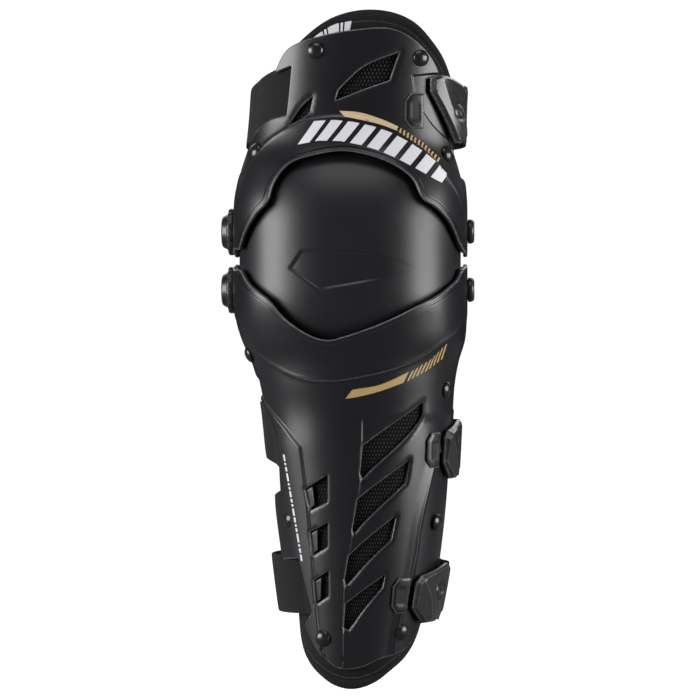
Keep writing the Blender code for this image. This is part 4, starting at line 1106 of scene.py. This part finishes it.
# %% Rivets
RIVET_LINE = (
    (0.01, 2.65), (1.6, 2.52), (3.2, 2.05), (4.6, 1.25), (5.45, 0.45), (5.65, 0.15), (5.5, 0.0),
    (2.2, 0.0), (2.2, -4.6), (0.01, -4.6),
)
CUFF_RIVETS = ((-21.3, 140.5), (50.1, 135.4), (-63.1, 73.8), (67.6, 71.3))
SHIN_RIVETS = ((-68, -65.4), (66.6, -89.3), (-40, -178.1), (60, -179.6), (-16.5, -257.4), (37, -253.3))
rivet_black = moulded("rivet_black", (0.012, 0.012, 0.013), (0.03, 0.03, 0.032), 0.24, 0.00002)
rivet_points, rivet_faces = turned(fine(RIVET_LINE[::-1]), 48)
for name, leg, body, relief, spots in (
    ("cuff", cuff_leg, "thigh", cuff_relief, CUFF_RIVETS),
    ("shin", shin_leg, "shin", shin_relief, SHIN_RIVETS),
):
    for number, spot in enumerate(spots, 1):
        flat = leg.front(spot)
        out = leg.normal(flat)[0]
        at = leg.place(flat)[0] + out * 0.0006
        rivet = piece(f"{name}_rivet_head_{number}", seated(rivet_points, out, at), rivet_faces, rivet_black)
        belongs(rivet, body, f"{name}_rivet_{number}")
        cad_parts[f"{name}_rivet_washer_{number}"].material_slots[0].material = steel

# %% [markdown]
# ## Straps
# Each strap is elastic webbing with ribs along it.  It comes out from under the
# shell at the left, runs behind the leg and ends, sewn, in a hook plate at the
# right.  Flat webbing is modelled directly: a rounded section carried round the leg.

# %% Webbing
STRAP, STRAP_WIDTH, TAIL, PLATE = 0.0016, 0.040, 0.025, 0.040
STRAPS = {
    "thigh": (cuff_leg, "thigh", -34.0, 39.5, (0.1127, 0.0990, 0.0997)),
    "upper_calf": (shin_leg, "shin", -40.0, 62.0, (-0.1282, -0.1180, -0.1302)),
    "lower_calf": (shin_leg, "shin", -30.0, 41.0, (-0.2212, -0.2230, -0.2282)),
}
# How far a strap stands off the shell's surface behind the leg, and the two angles
# between which it sinks from there to pass under the shell.
SLACK = {"thigh": (0.0, 258, 288), "upper_calf": (0.0030, 258, 284), "lower_calf": (0.0052, 272, 312)}


def steps_round(leg, start, z, lengths):
    """Flat distances round the leg that lie true lengths after a start, at one height."""
    way = start + np.linspace(0, 0.2, 1200)
    places = leg.place(np.stack([way, np.full_like(way, z)], axis=1))
    walked = np.concatenate([[0], np.cumsum(np.linalg.norm(np.diff(places, axis=0), axis=1))])
    return np.interp(lengths, walked, way)


def band(name, leg, angle, height, lift, width, way_round=round_from):
    """A flat strip with rounded edges: one rounded section at each angle, capped at both ends.

    The section runs t = w/2 cos(a)^(1/4), n = thickness/2 (1 + sin(a)^(1/2)), with their signs.
    """
    a = np.linspace(0, 2 * np.pi, 45)[:-1]
    over = width / 2 * np.sign(np.cos(a)) * np.abs(np.cos(a)) ** 0.25
    thick = STRAP / 2 * (1 + np.sign(np.sin(a)) * np.abs(np.sin(a)) ** 0.5)
    u, z, rest = way_round(angle)[:, None], height[:, None], lift[:, None]
    flat = np.stack(np.broadcast_arrays(u, z + over[None, :]), axis=-1)
    points = leg.place(flat, rest + thick[None, :])
    middle = points.mean(axis=1)
    length = np.concatenate([[0], np.cumsum(np.linalg.norm(np.diff(middle, axis=0), axis=1))])
    drawing = np.stack(np.broadcast_arrays(length[:, None], over[None, :]), axis=-1)
    index = np.arange(points.shape[0] * len(a)).reshape(points.shape[:2])
    beside = np.roll(index, -1, axis=1)
    quads = np.stack([index[:-1], index[1:], beside[1:], beside[:-1]], axis=-1).reshape(-1, 4)
    faces = quads[:, ::-1].tolist() + [index[0].tolist(), index[-1, ::-1].tolist()]
    return piece(name, points, faces, webbing, flat=drawing), float(length[-1])


ANGLE_LIMIT = 2 * math.pi


class Loop(Leg):
    """The same surface for angles that run on past the back, as a strap does."""

    def __init__(self, leg):
        self.__dict__.update(leg.__dict__)

    def place(self, flat, lift=0.0):
        lap = 2 * float(arcs[-1])
        flat = np.array(flat, float)
        flat[..., 0] = np.where(flat[..., 0] > lap / 2, flat[..., 0] - lap, flat[..., 0])
        return super().place(flat, lift)


def round_all(angle):
    """round_from for angles up to a whole turn."""
    lap = 2 * float(arcs[-1])
    rest = lap - np.interp(ANGLE_LIMIT - angle, turns, arcs)
    return np.where(angle > math.pi, rest, np.interp(angle, turns, arcs))


def stitches(name, leg, flat, way, lift, material, size=(0.0021, 0.00050, 0.00035)):
    """Rows of stitches: each a small six-sided spindle lying along its row."""
    along = np.linspace(-1, 1, 4)
    t = np.arange(6) * np.pi / 3
    body = np.sqrt(1 - (0.94 * along) ** 2)
    local = np.stack(
        np.broadcast_arrays(along[:, None] * size[0] / 2, body[:, None] * np.cos(t) * size[1] / 2,
                            body[:, None] * np.sin(t) * size[2] / 2), axis=-1).reshape(-1, 3)
    out = leg.normal(flat)
    ahead = leg.place(flat + way * 1e-3) - leg.place(flat)
    ahead /= np.linalg.norm(ahead, axis=1, keepdims=True)
    across_row = np.cross(out, ahead)
    at = leg.place(flat, lift)
    points = at[:, None] + local[None, :, :1] * ahead[:, None] + local[None, :, 1:2] * across_row[:, None]
    points = points + local[None, :, 2:] * out[:, None]
    index = np.arange(24).reshape(4, 6)
    beside = np.roll(index, -1, axis=1)
    quads = np.stack([index[:-1], beside[:-1], beside[1:], index[1:]], axis=-1).reshape(-1, 4)
    shift = 24 * np.arange(len(flat))[:, None, None]
    faces = (quads[None] + shift).reshape(-1, 4).tolist()
    faces += (index[0, ::-1][None] + shift[:, 0]).tolist() + (index[-1][None] + shift[:, 0]).tolist()
    return piece(name, points.reshape(-1, 3), faces, material)


def row(start, end, pitch):
    """Stitch places and the way they point, in a straight row of the flat drawing."""
    start, end = np.array(start), np.array(end)
    length = float(np.linalg.norm(end - start))
    count = max(2, int(length / pitch))
    share = (np.arange(count) + 0.5) / count
    return start + share[:, None] * (end - start), np.broadcast_to((end - start) / length, (count, 2))


# %% Hook plates and catches
PLATE_SHAPES = {
    "thigh": ((0, 22.5), (0.5, 13), (23, -20.3), (33, -20.3), (40, -15), (40, 15), (33, 20), (8, 24.5)),
    "upper_calf": ((0, -9), (0.5, 8), (4.5, 13), (34, 20), (40, 17), (40, -14), (30, -20), (12, -20)),
    "lower_calf": ((0, -9), (0.5, 8), (4.5, 13), (34, 20), (40, 17), (40, -14), (30, -20), (12, -20)),
}
PLATE_RIDGES = {
    "thigh": ((7, 20), (14, 5), (29, -16)),
    "upper_calf": ((5, 9), (13, -2), (18, -16)),
    "lower_calf": ((5, 9), (13, -2), (18, -16)),
}
CATCH_SHAPE = ((-16, -6.6), (-16, 6.6), (-12, 12), (-3.2, 12), (-3.2, -12), (-12, -12))
CLIP_LIFT = 0.0010
STANDS_OFF = {"thigh": 0.0, "upper_calf": 0.0030, "lower_calf": 0.0042}  # far end of a plate from the shell


def plate_height(flat, edge, ridge, mark):
    """Chamfered edges, a raised ridge that falls to both sides, and a sunk ring with a bar."""
    height = 0.0021 + 0.0012 * rise(0.0002, 0.0022, edge)
    height += 0.0026 * np.clip(1 - off(flat, ridge) / 0.016, 0, 1) * rise(0.0002, 0.0022, edge)
    from_mark = np.hypot((flat[:, 0] - mark[0]) / 1.25, flat[:, 1] - mark[1])
    ring = np.exp(-(((from_mark - 0.0052) / 0.0010) ** 2))
    bar = (np.abs(flat[:, 1] - mark[1] + 0.5 * (flat[:, 0] - mark[0])) < 0.0009) * (from_mark < 0.0042)
    return height - 0.0009 * np.maximum(ring, bar)


for name, (leg, body, start, nose, heights) in STRAPS.items():
    at_start, behind, at_plate = heights
    u_nose = float(round_from(math.radians(nose)))

    def tailored(local, leg=leg, u_nose=u_nose, at_plate=at_plate):
        """Plate coordinates (from the nose, above the middle) as flat places."""
        u = steps_round(leg, u_nose, at_plate, local[..., 0])
        return np.stack([u, local[..., 1] + at_plate], axis=-1)

    def on_shell(local, lift=0.0, leg=leg, name=name):
        share = np.clip(local[..., 0], 0, None) / PLATE
        return leg.place(tailored(local), lift + STANDS_OFF[name] * share**2)

    outline = path(np.array(PLATE_SHAPES[name]) * MM, corner=25, step=0.0009)
    ridge = np.array(PLATE_RIDGES[name]) * MM
    mark = np.array((0.0255, 0.001 if name == "thigh" else 0.002))
    ring_turn = np.linspace(0, 2 * np.pi, 40)
    ring_line = mark + 0.0052 * np.stack([1.25 * np.cos(ring_turn), np.sin(ring_turn)], axis=1)
    plate_lines = [path(ridge, closed=False), ring_line]
    drawing = triangles(outline, (), 0.0011, (0.0002, 0.0007, 0.0013, 0.0021), plate_lines)
    top = CLIP_LIFT + plate_height(drawing[0], drawing[2], ridge, mark)
    # Painted highlights: pale lines painted along the plate's ridge and along the crest of its chamfered
    # edge.
    rim = 0.7 * np.exp(-((off(drawing[0], ridge) / 0.0007) ** 2))
    rim = np.maximum(rim, 0.8 * np.exp(-(((drawing[2] - 0.0019) / 0.0006) ** 2)))
    plate = shell_of(
        f"{name}_hook_plate", drawing, on_shell, top, CLIP_LIFT, fitting_black, 0.0004, 0.0003, rim
    )
    belongs(plate, f"{name}_hook", f"{name}_clip")

    def before_nose(local, lift=0.0, leg=leg, u_nose=u_nose, at_plate=at_plate):
        u = u_nose + local[:, 0] * (steps_round(leg, u_nose, at_plate, 0.01) - u_nose) / 0.01
        return leg.place(np.stack([u, local[:, 1] + at_plate], axis=1), lift)

    catch_outline = path(np.array(CATCH_SHAPE) * MM, corner=25)
    catch_drawing = triangles(catch_outline, (), 0.0014, (0.0003, 0.0008, 0.0014))
    near, edge = catch_drawing[0][:, 0], catch_drawing[2]
    top = 0.0003 + np.interp(near, (-0.016, -0.0125, -0.003), (0.0006, 0.0010, 0.0014))
    top = top - 0.0005 * (1 - rise(0, 0.0016, edge))
    slot_place = 0.0003 * (np.abs(catch_drawing[0][:, 1]) < 0.006) * rise(-0.0128, -0.0118, near)
    top -= slot_place * (1 - rise(-0.0065, -0.0055, near))
    catch = shell_of(
        f"{name}_catch_block", catch_drawing, before_nose, top, 0.0003, shell_black, 0.0004, 0.0002
    )
    belongs(catch, body, f"{name}_catch")

    lengths = PLATE + 0.0003 + np.array([0, TAIL])
    tail_from, tail_to = angle_from(steps_round(leg, u_nose, at_plate, lengths))
    tail_angles = np.linspace(tail_from, tail_to, 40)
    still = np.full(40, at_plate)
    tail_lift = 0.0006 + STANDS_OFF[name] * (1 - rise(0.0, 1.0, np.linspace(0, 1, 40)))
    tail, _ = band(f"{name}_tail", leg, tail_angles, still, tail_lift, STRAP_WIDTH)
    belongs(tail, f"{name}_hook", f"{name}_strap_tail")
    left, right = float(round_from(tail_from)) + 0.002, float(round_from(tail_to)) - 0.003
    low, high = at_plate - STRAP_WIDTH / 2 + 0.003, at_plate + STRAP_WIDTH / 2 - 0.003
    corners = [(left, low), (right, low), (right, high), (left, high), (left, low), (right, high)]
    rows = [row(p, q, 0.0030) for p, q in zip(corners, corners[1:])]
    at_stitch = np.concatenate([r[0] for r in rows])
    over_tail = np.interp(at_stitch[:, 0], round_from(tail_angles), tail_lift) + STRAP + 0.00005
    ways = np.concatenate([r[1] for r in rows])
    box = stitches(f"{name}_box_stitch", leg, at_stitch, ways, over_tail, thread_grey)
    belongs(box, f"{name}_hook")

    share = np.linspace(0, 1, 260)
    tail_end = math.degrees(tail_to)
    angle = tail_to + 0.003 / 0.07 + share * (ANGLE_LIMIT + math.radians(start) - tail_to - 0.003 / 0.07)
    height = np.interp(share, (0, 0.5, 0.76, 1), (at_plate, behind, behind, at_start))
    height = np.convolve(np.pad(height, 12, mode="edge"), np.ones(25) / 25, mode="valid")
    slack, leaves, sinks = SLACK[name]
    ends = (0.0006, 0.0006 + slack, 0.0006 + slack, -0.0052)
    lift = np.interp(angle, np.radians((tail_end, 200, leaves, sinks)), ends)
    lap = Loop(leg)
    strap, length = band(f"{name}_webbing", lap, angle, height, lift, STRAP_WIDTH, round_all)
    belongs(strap, body, f"{name}_strap")
    print(name, "strap", round(length / MM), "mm")

# %% [markdown]
# ## Foam liners
# The liners are foam between two cloths, sewn through along channels and bound
# round the edge with tape.  Cloth simulation blows the flat form up between its
# seams, which stay where they are; sculpting each bulge by hand would look stiffer.
# The form is meshed evenly from its drawing, so it needs no voxel remesh first.

# %% Stuffing
CHANNEL_GAPS = (-0.0014, 0.0, 0.0014)
SOFT_RINGS = (0.0008, 0.0020, 0.0036)
FOAM_TOP, FOAM_UNDER = 0.0007, 0.0009  # room left for the stuffing, outside and inside


def stuff(made, held, cap):
    """Cloth under pressure for twenty frames; seams are held and no point moves more than the cap."""
    rest = np.zeros(len(made.data.vertices) * 3)
    made.data.vertices.foreach_get("co", rest)
    rest = rest.reshape(-1, 3)
    group = made.vertex_groups.new(name="seams")
    group.add(np.flatnonzero(held).tolist(), 1.0, "REPLACE")
    cloth = made.modifiers.new("stuffing", "CLOTH")
    cloth.settings.use_pressure = True
    cloth.settings.uniform_pressure_force = 4.0
    cloth.settings.vertex_group_mass = "seams"
    cloth.settings.bending_stiffness = 0.3
    cloth.settings.effector_weights.gravity = 0.0
    cloth.point_cache.frame_start, cloth.point_cache.frame_end = 1, 20
    for number in range(1, 21):
        bpy.context.scene.frame_set(number)
    evaluated = made.evaluated_get(bpy.context.evaluated_depsgraph_get())
    blown = np.zeros(len(rest) * 3)
    evaluated.data.vertices.foreach_get("co", blown)
    move = blown.reshape(-1, 3) - rest
    length = np.linalg.norm(move, axis=1, keepdims=True)
    move *= np.minimum(1, cap / np.maximum(length, 1e-9))
    made.modifiers.clear()
    made.vertex_groups.clear()
    made.data.vertices.foreach_set("co", (rest + move).ravel())
    bpy.context.scene.frame_set(1)
    print(made.name, "puffed by up to", round(float(np.linalg.norm(move, axis=1).max()) / MM, 2), "mm")


def pad(name, leg, outline, channels, top, under, label=None):
    """A foam pad on a surface: rounded edges, sewn channels, stuffed between them."""
    drawing = triangles(outline, (), 0.0036, SOFT_RINGS, channels, CHANNEL_GAPS)
    flat, faces, distance, border = drawing
    sunk = np.zeros(len(flat))
    for channel in channels:
        sunk = np.maximum(sunk, np.exp(-((off(flat, channel) / 0.0016) ** 2)))
    high = np.full(len(flat), top - FOAM_TOP) - 0.0004 * sunk
    low = under + FOAM_UNDER + 0.0022 * sunk
    made = shell_of(name, drawing, leg.place, high, low, liner_cloth, 0.0032, 0.0032)
    held = (distance < 0.0065) | (sunk > 0.5)
    held_outside = held
    if label is not None:
        from_label = nearest(flat, label, np.roll(label, -1, axis=0))[0]
        held_outside = held | (from_label < 0.004) | inside(flat, [label])
    stuff(made, np.concatenate([held_outside, held]), 0.0015)
    smoothing = made.modifiers.new("smoothing", "SUBSURF")
    smoothing.levels = smoothing.render_levels = 1
    made.data.set_sharp_from_angle(angle=math.pi)
    return made


def tape(name, leg, outline, middle, half, reach=0.0034):
    """Edge tape: a flattened tube that follows the outline just inside it.

    Its section is a superellipse of power 3, half thick through the foam and reach wide.
    """
    way = np.roll(outline, -1, axis=0) - np.roll(outline, 1, axis=0)
    way /= np.linalg.norm(way, axis=1, keepdims=True)
    inward = np.stack([-way[:, 1], way[:, 0]], axis=1) * np.sign(area_of(outline))
    a = np.linspace(0, 2 * np.pi, 21)[:-1]
    wide = reach * np.sign(np.cos(a)) * np.abs(np.cos(a)) ** (2 / 3)
    thick = half * np.sign(np.sin(a)) * np.abs(np.sin(a)) ** (2 / 3)
    flat = outline[:, None] + inward[:, None] * (0.0022 + wide[None, :, None])
    points = leg.place(flat, middle + thick[None, :])
    index = np.arange(points.shape[0] * len(a)).reshape(points.shape[:2])
    next_ring, beside = np.roll(index, -1, axis=0), np.roll(index, -1, axis=1)
    quads = np.stack([index, beside, np.roll(next_ring, -1, axis=1), next_ring], axis=-1).reshape(-1, 4)
    if area_of(outline) < 0:
        quads = quads[:, ::-1]
    return piece(name, points, quads, binding_cloth)


def seam_row(outline, distance, pitch):
    """Evenly spaced stitch places inside an outline, and the way they point."""
    loop = outline if area_of(outline) > 0 else outline[::-1]
    closed = np.concatenate([loop, loop[:1]])
    walked = np.concatenate([[0], np.cumsum(np.linalg.norm(np.diff(closed, axis=0), axis=1))])
    at = np.arange(0, walked[-1] - pitch / 2, pitch)
    line = np.stack([np.interp(at, walked, closed[:, k]) for k in (0, 1)], axis=1)
    way = np.roll(line, -1, axis=0) - np.roll(line, 1, axis=0)
    way /= np.linalg.norm(way, axis=1, keepdims=True)
    inner = line + np.stack([-way[:, 1], way[:, 0]], axis=1) * distance
    return inner, way


def polar(*points):
    """Flat places of angles in degrees and heights in millimetres."""
    angle, z = np.array(points, float).T
    return np.stack([round_from(np.radians(angle)), z * MM], axis=1)


# %% Thigh and shin liners
THIGH_LINER = (
    (0, 80.2), (25, 78.8), (45, 76.2), (80, 62.2), (98, 60.4), (107, 65), (108, 78), (105, 96), (96, 106),
    (78, 118.2), (50, 144.2), (28, 161.2), (8, 167), (-12, 162.2), (-35, 144.2), (-55, 125.2), (-80, 112.2),
    (-98, 104), (-107, 95), (-108, 78), (-107, 65), (-98, 60.4), (-80, 62.2), (-45, 76.2), (-25, 78.8),
)
SHIN_LINER = (
    (0, -77.2), (-25, -75.4), (-45, -72.2), (-80, -64.2), (-93, -64.8), (-99.5, -71), (-100, -90),
    (-100, -222), (-97, -241), (-88, -256), (-80, -263.5), (-60, -275), (-40, -283), (-20, -289.2),
    (0, -291.2), (20, -287.2), (40, -279.2), (60, -271.2), (80, -259), (88, -252), (97, -238),
    (100, -222), (100, -90), (99.5, -71), (93, -64.8), (80, -64.2), (45, -72.2), (25, -75.4),
)
LABEL = (
    (-44.5, 139), (-31, 151.5), (-14, 158.3), (3.5, 160.6), (2.5, 154), (-14, 149.5), (-30, 143.6),
    (-41, 137.5),
)
label_spot = path(cuff_leg.front(*LABEL), corner=60)
LINER_MIDDLE = (LINER_OUT + LINER_IN) / 2
THIGH_COLUMNS, THIGH_SPANS = (-82, -52, -22, 22, 52, 82), ((92, 132), (84, 118))
SHIN_COLUMNS, SHIN_SPANS = (-76, -48, -18, 18, 48, 76), ((-84, -262), (-80, -226))
for name, leg, body, node, marks, columns, spans in (
    ("thigh_pad", cuff_leg, "thigh", "thigh_liner", THIGH_LINER, THIGH_COLUMNS, THIGH_SPANS),
    ("shin_pad", shin_leg, "shin", "shin_liner", SHIN_LINER, SHIN_COLUMNS, SHIN_SPANS),
):
    outline = path(polar(*marks), corner=170, step=0.0024)
    outline = outline if area_of(outline) > 0 else outline[::-1]
    channels = []
    for degrees in columns:
        start, stop = spans[0] if abs(degrees) < 40 else spans[1]
        stations = polar((degrees, start), (degrees, (start + stop) / 2), (degrees, stop))
        channels.append(path(stations, closed=False))
    label = label_spot if name == "thigh_pad" else None
    made = pad(name, leg, outline, channels, LINER_OUT, LINER_IN, label)
    belongs(made, body, node)
    edge = tape(f"{name}_tape", leg, outline, LINER_MIDDLE, 0.0044)
    belongs(edge, body)
    places, way = seam_row(outline, 0.0068, 0.0034)
    seam_lifts = ("outside", LINER_OUT - FOAM_TOP + 0.0001), ("inside", LINER_IN + FOAM_UNDER - 0.0001)
    for which, lift in seam_lifts:
        seam = stitches(f"{name}_seam_{which}", leg, places, way, lift, thread_grey)
        belongs(seam, body)

# %% [markdown]
# ## Knee pad and stretch strips
# The knee pad follows the cup's own round form; a strip of stretch cloth closes the
# gap to the liners above and below it.


# %% Knee pad
class Bowl:
    """x = (half + lift) sin^(2/p), r = (radius + lift) cos^(2/p), r turned about both hinge axes."""

    def __init__(self):
        angle = np.linspace(0, math.pi / 2, 4001)
        line = np.stack([CUP_HALF * np.sin(angle) ** 0.8, CUP_RADIUS * np.cos(angle) ** 0.8], axis=1)
        self.angle = angle
        self.walked = np.concatenate([[0], np.cumsum(np.linalg.norm(np.diff(line, axis=0), axis=1))])

    def place(self, flat, lift=0.0):
        flat = np.asarray(flat, float)
        side, s = flat[..., 0], flat[..., 1]
        angle = np.interp(np.abs(side), self.walked, self.angle)
        x = (CUP_HALF + lift) * np.sign(side) * np.sin(angle) ** 0.8
        r = (CUP_RADIUS + lift) * np.cos(angle) ** 0.8
        beyond = np.clip(np.abs(s) - UPPER_AXIS, 0, None) / CUP_RADIUS
        y = -r * np.cos(beyond)
        z = np.clip(s, LOWER_AXIS, UPPER_AXIS) + np.sign(s) * r * np.sin(beyond)
        return np.stack([x, y, z], axis=-1)

    normal = Leg.normal


knee_bowl = Bowl()
KNEE_PAD = (
    (0, 78), (36, 77), (60, 73), (74, 62), (84, 40), (88, 18), (88, -18), (84, -40), (74, -62), (60, -73),
    (36, -77), (0, -78), (-36, -77), (-60, -73), (-74, -62), (-84, -40), (-88, -18), (-88, 18), (-84, 40),
    (-74, 62), (-60, 73), (-36, 77),
)
knee_outline = path(np.array(KNEE_PAD) * MM, corner=170, step=0.0024)[::-1]
knee_channels = []
for x in (-54, -18, 18, 54):
    reach = 60 - abs(x) * 0.3
    knee_channels.append(path(np.array(((x, -reach), (x, 0), (x, reach))) * MM, closed=False))
knee_pad = pad("knee_pad", knee_bowl, knee_outline, knee_channels, -0.0036, -0.0121)
belongs(knee_pad, "knee", "knee_liner")
places, way = seam_row(knee_outline, 0.0060, 0.0034)
knee_seam = stitches("knee_pad_seam", knee_bowl, places, way, -0.0121 + FOAM_UNDER - 0.0001, thread_grey)
belongs(knee_seam, "knee")

STRIP_HALF = 0.037
for name, way_up in (("upper", 1), ("lower", -1)):
    angles = math.radians(44) + 0.0006 / CUP_RADIUS + np.array([0.0015, math.radians(5)])
    s = way_up * (UPPER_AXIS + CUP_RADIUS * angles)
    corners = (-STRIP_HALF, s[0]), (STRIP_HALF, s[0]), (STRIP_HALF, s[1]), (-STRIP_HALF, s[1])
    strip_outline = path(np.array(corners), step=0.0016)
    drawing = triangles(strip_outline, (), 0.0016, (0.0004,))
    ruck = 0.00018 * np.sin(drawing[0][:, 0] * 2 * np.pi / 0.0045)
    over, under = ruck - 0.0070, ruck - 0.0083
    strip = shell_of(
        f"{name}_stretch_strip", drawing, knee_bowl.place, over, under, stretch_cloth, 0.0004, 0.0004
    )
    belongs(strip, "knee", f"{name}_stretch_panel")

# %% [markdown]
# ## Mesh behind the vents
# Air passes through the vents and a knitted spacer mesh behind them.  It is a thin
# sheet stretched over the foam, with its holes in the finish.

# %% Spacer mesh
CUFF_MESH = (
    (-33, 86), (-10, 99), (30, 111), (41, 134), (39, 145), (10, 138), (-14, 121), (-30, 112), (-41, 99),
    (-43, 88),
)
SHIN_MESH = (
    (-24, -143), (-12, -140), (6, -120), (40, -93), (56, -92), (56, -112), (46, -160),
    (38, -200), (29, -230), (2, -256), (-6, -256), (-22, -240),
)
MESHES = (
    ("cuff_mesh", cuff_leg, "thigh", "thigh_pad", CUFF_MESH),
    ("shin_mesh", shin_leg, "shin", "shin_pad", SHIN_MESH),
)
for name, leg, body, base, corners in MESHES:
    outline = path(leg.front(*corners), corner=30, step=0.002)
    drawing = triangles(outline, (), 0.0022, (0.0003,))
    sheet = shell_of(name, drawing, leg.place, -0.0039, -0.0045, vent_mesh, 0.0002, 0.0002)
    belongs(sheet, body)
    a, b, c = (leg.place(drawing[0], -0.0042)[drawing[1][:, k]] for k in range(3))
    area = float(np.linalg.norm(np.cross(b - a, c - a), axis=1).sum() / 2)
    width, length = (drawing[0].max(0) - drawing[0].min(0)).tolist()
    width *= area / abs(area_of(outline))
    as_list(base)
    print(name, "cut from", round(width / MM), "x", round(length / MM), "mm,", round(area * 1e4, 1), "cm2")

# %% [markdown]
# ## Printing
# The ink lies on the shells in thin raised films: a tapered gold bar with a row of
# slanted strokes above and below the knee, a band of white slanted bars over the
# arch, ticks down the left panel, and a striped label on the liner.


# %% Prints
def printed(name, leg, relief, shapes, ink, body, lift=0.00013):
    """Thin closed films of ink over a shell's own relief, as one piece."""
    points, faces, flats, first = [], [], [], 0
    for shape in shapes:
        outline = path(leg.front(*shape), corner=25, step=0.0010)
        flat, tri, distance, border = triangles(outline, (), 0.0013, ())
        ground = relief(flat) if callable(relief) else relief
        over, under = leg.place(flat, ground + lift), leg.place(flat, ground - 0.0002)
        count = len(flat)
        points += [over, under]
        flats += [flat, flat]
        faces += (tri + first).tolist() + (tri[:, ::-1] + count + first).tolist()
        faces += (walls(border, count) + first).tolist()
        first += 2 * count
    made = piece(name, np.concatenate(points), faces, ink, flat=np.concatenate(flats))
    belongs(made, body)


def strokes(low, high, spans, slant=0.0):
    """Slanted bars between two lines, each from one share of their length to another."""
    low, high = np.array(low, float), np.array(high, float)

    def at(line, share):
        walked = np.concatenate([[0], np.cumsum(np.linalg.norm(np.diff(line, axis=0), axis=1))])
        return tuple(np.interp(share * walked[-1], walked, line[:, k]) for k in (0, 1))

    bars = []
    for start, end in spans:
        bottom = [at(low, s) for s in np.linspace(start, end, 4)]
        over = [at(high, s) for s in np.linspace(end + slant, start + slant, 4)]
        bars.append(bottom + over)
    return bars


def even(count, from_share, to_share):
    """Spans of evenly spaced bars, each from one place to another in its own share of the line."""
    return [(k / count + from_share, k / count + to_share) for k in range(count)]


BAND_LOW = (
    (-33, 76.5), (-18, 79), (-4, 78.6), (10, 75.8), (22, 72), (34, 66.6), (46, 60.2), (58, 53.5), (66, 49.5),
)
BAND_HIGH = (
    (-22, 92.4), (-8, 93), (4.6, 91.6), (18, 88.6), (30, 84.4), (42, 78), (52, 71.4), (61, 64), (69.5, 55.5),
)
CUFF_BAR = (
    (-4.9, 99.3), (9.3, 98), (26.1, 92.6), (35, 88.6),
    (33.4, 85.8), (22.7, 89.8), (9.3, 93.1), (-1, 95.2),
)
SHIN_BAR = (
    (-0.3, -94.8), (4.4, -88.8), (23.1, -85.3), (42.2, -76.7),
    (38.6, -84), (23.1, -89.6), (9.7, -93.1),
)
CUFF_STROKES = ((34.6, 84.8), (49, 75.6), (62, 64)), ((36.5, 87.8), (51, 78.6), (64.4, 66.6))
SHIN_STROKES = ((40.6, -83.4), (54, -76), (65.4, -67.2)), ((43.8, -76.6), (56.6, -68.6), (68.6, -56.6))
bars = strokes(BAND_LOW, BAND_HIGH, even(9, 0.006, 0.082))
cuff_strokes = strokes(*CUFF_STROKES, even(12, 0.012, 0.05), -0.02)
shin_strokes = strokes(*SHIN_STROKES, even(9, 0.015, 0.068))
printed("cuff_white_bars", cuff_leg, cuff_relief, bars, white_ink, "thigh")
printed("cuff_gold_bar", cuff_leg, cuff_relief, [CUFF_BAR], pale_gold_ink, "thigh")
printed("cuff_gold_strokes", cuff_leg, cuff_relief, cuff_strokes, gold_ink, "thigh")
printed("shin_gold_bar", shin_leg, shin_relief, [SHIN_BAR], gold_ink, "shin")
printed("shin_gold_strokes", shin_leg, shin_relief, shin_strokes, gold_ink, "shin")
TICKS = (4.5, 1.6, 3.0, 5.5, 1.6, 1.6, 4.0, 2.4, 1.6, 5.0, 3.4, 1.6, 2.4, 6.0, 1.6, 3.0, 4.4)
TICK_RUN, TICK_GAP = 73.0, 1.25
ticks, along = [], 0.0
for length in TICKS:
    share = np.array([along, along + length]) / TICK_RUN
    x, z = -42 + 12.2 * share, -133 - 72 * share
    ticks.append(((x[0] - 0.55, z[0]), (x[0] + 0.65, z[0]), (x[1] + 0.65, z[1]), (x[1] - 0.55, z[1])))
    along += length + TICK_GAP
printed("panel_ticks", shin_leg, shin_relief, ticks, white_ink, "shin")
LABEL_LOW = ((-41, 138.2), (-30, 144.4), (-14, 150.4), (2.5, 154.4))
LABEL_HIGH = ((-44.5, 140), (-31, 151), (-14, 157.8), (3.3, 160.4))
LABEL_SPANS = (
    (0.0, 0.30), (0.325, 0.36), (0.385, 0.55), (0.575, 0.61), (0.635, 0.80), (0.825, 0.86), (0.885, 0.98),
)
stripes = strokes(LABEL_LOW, LABEL_HIGH, LABEL_SPANS, 0.012)
printed("liner_label", cuff_leg, LINER_OUT - FOAM_TOP, stripes, white_ink, "thigh", 0.0003)
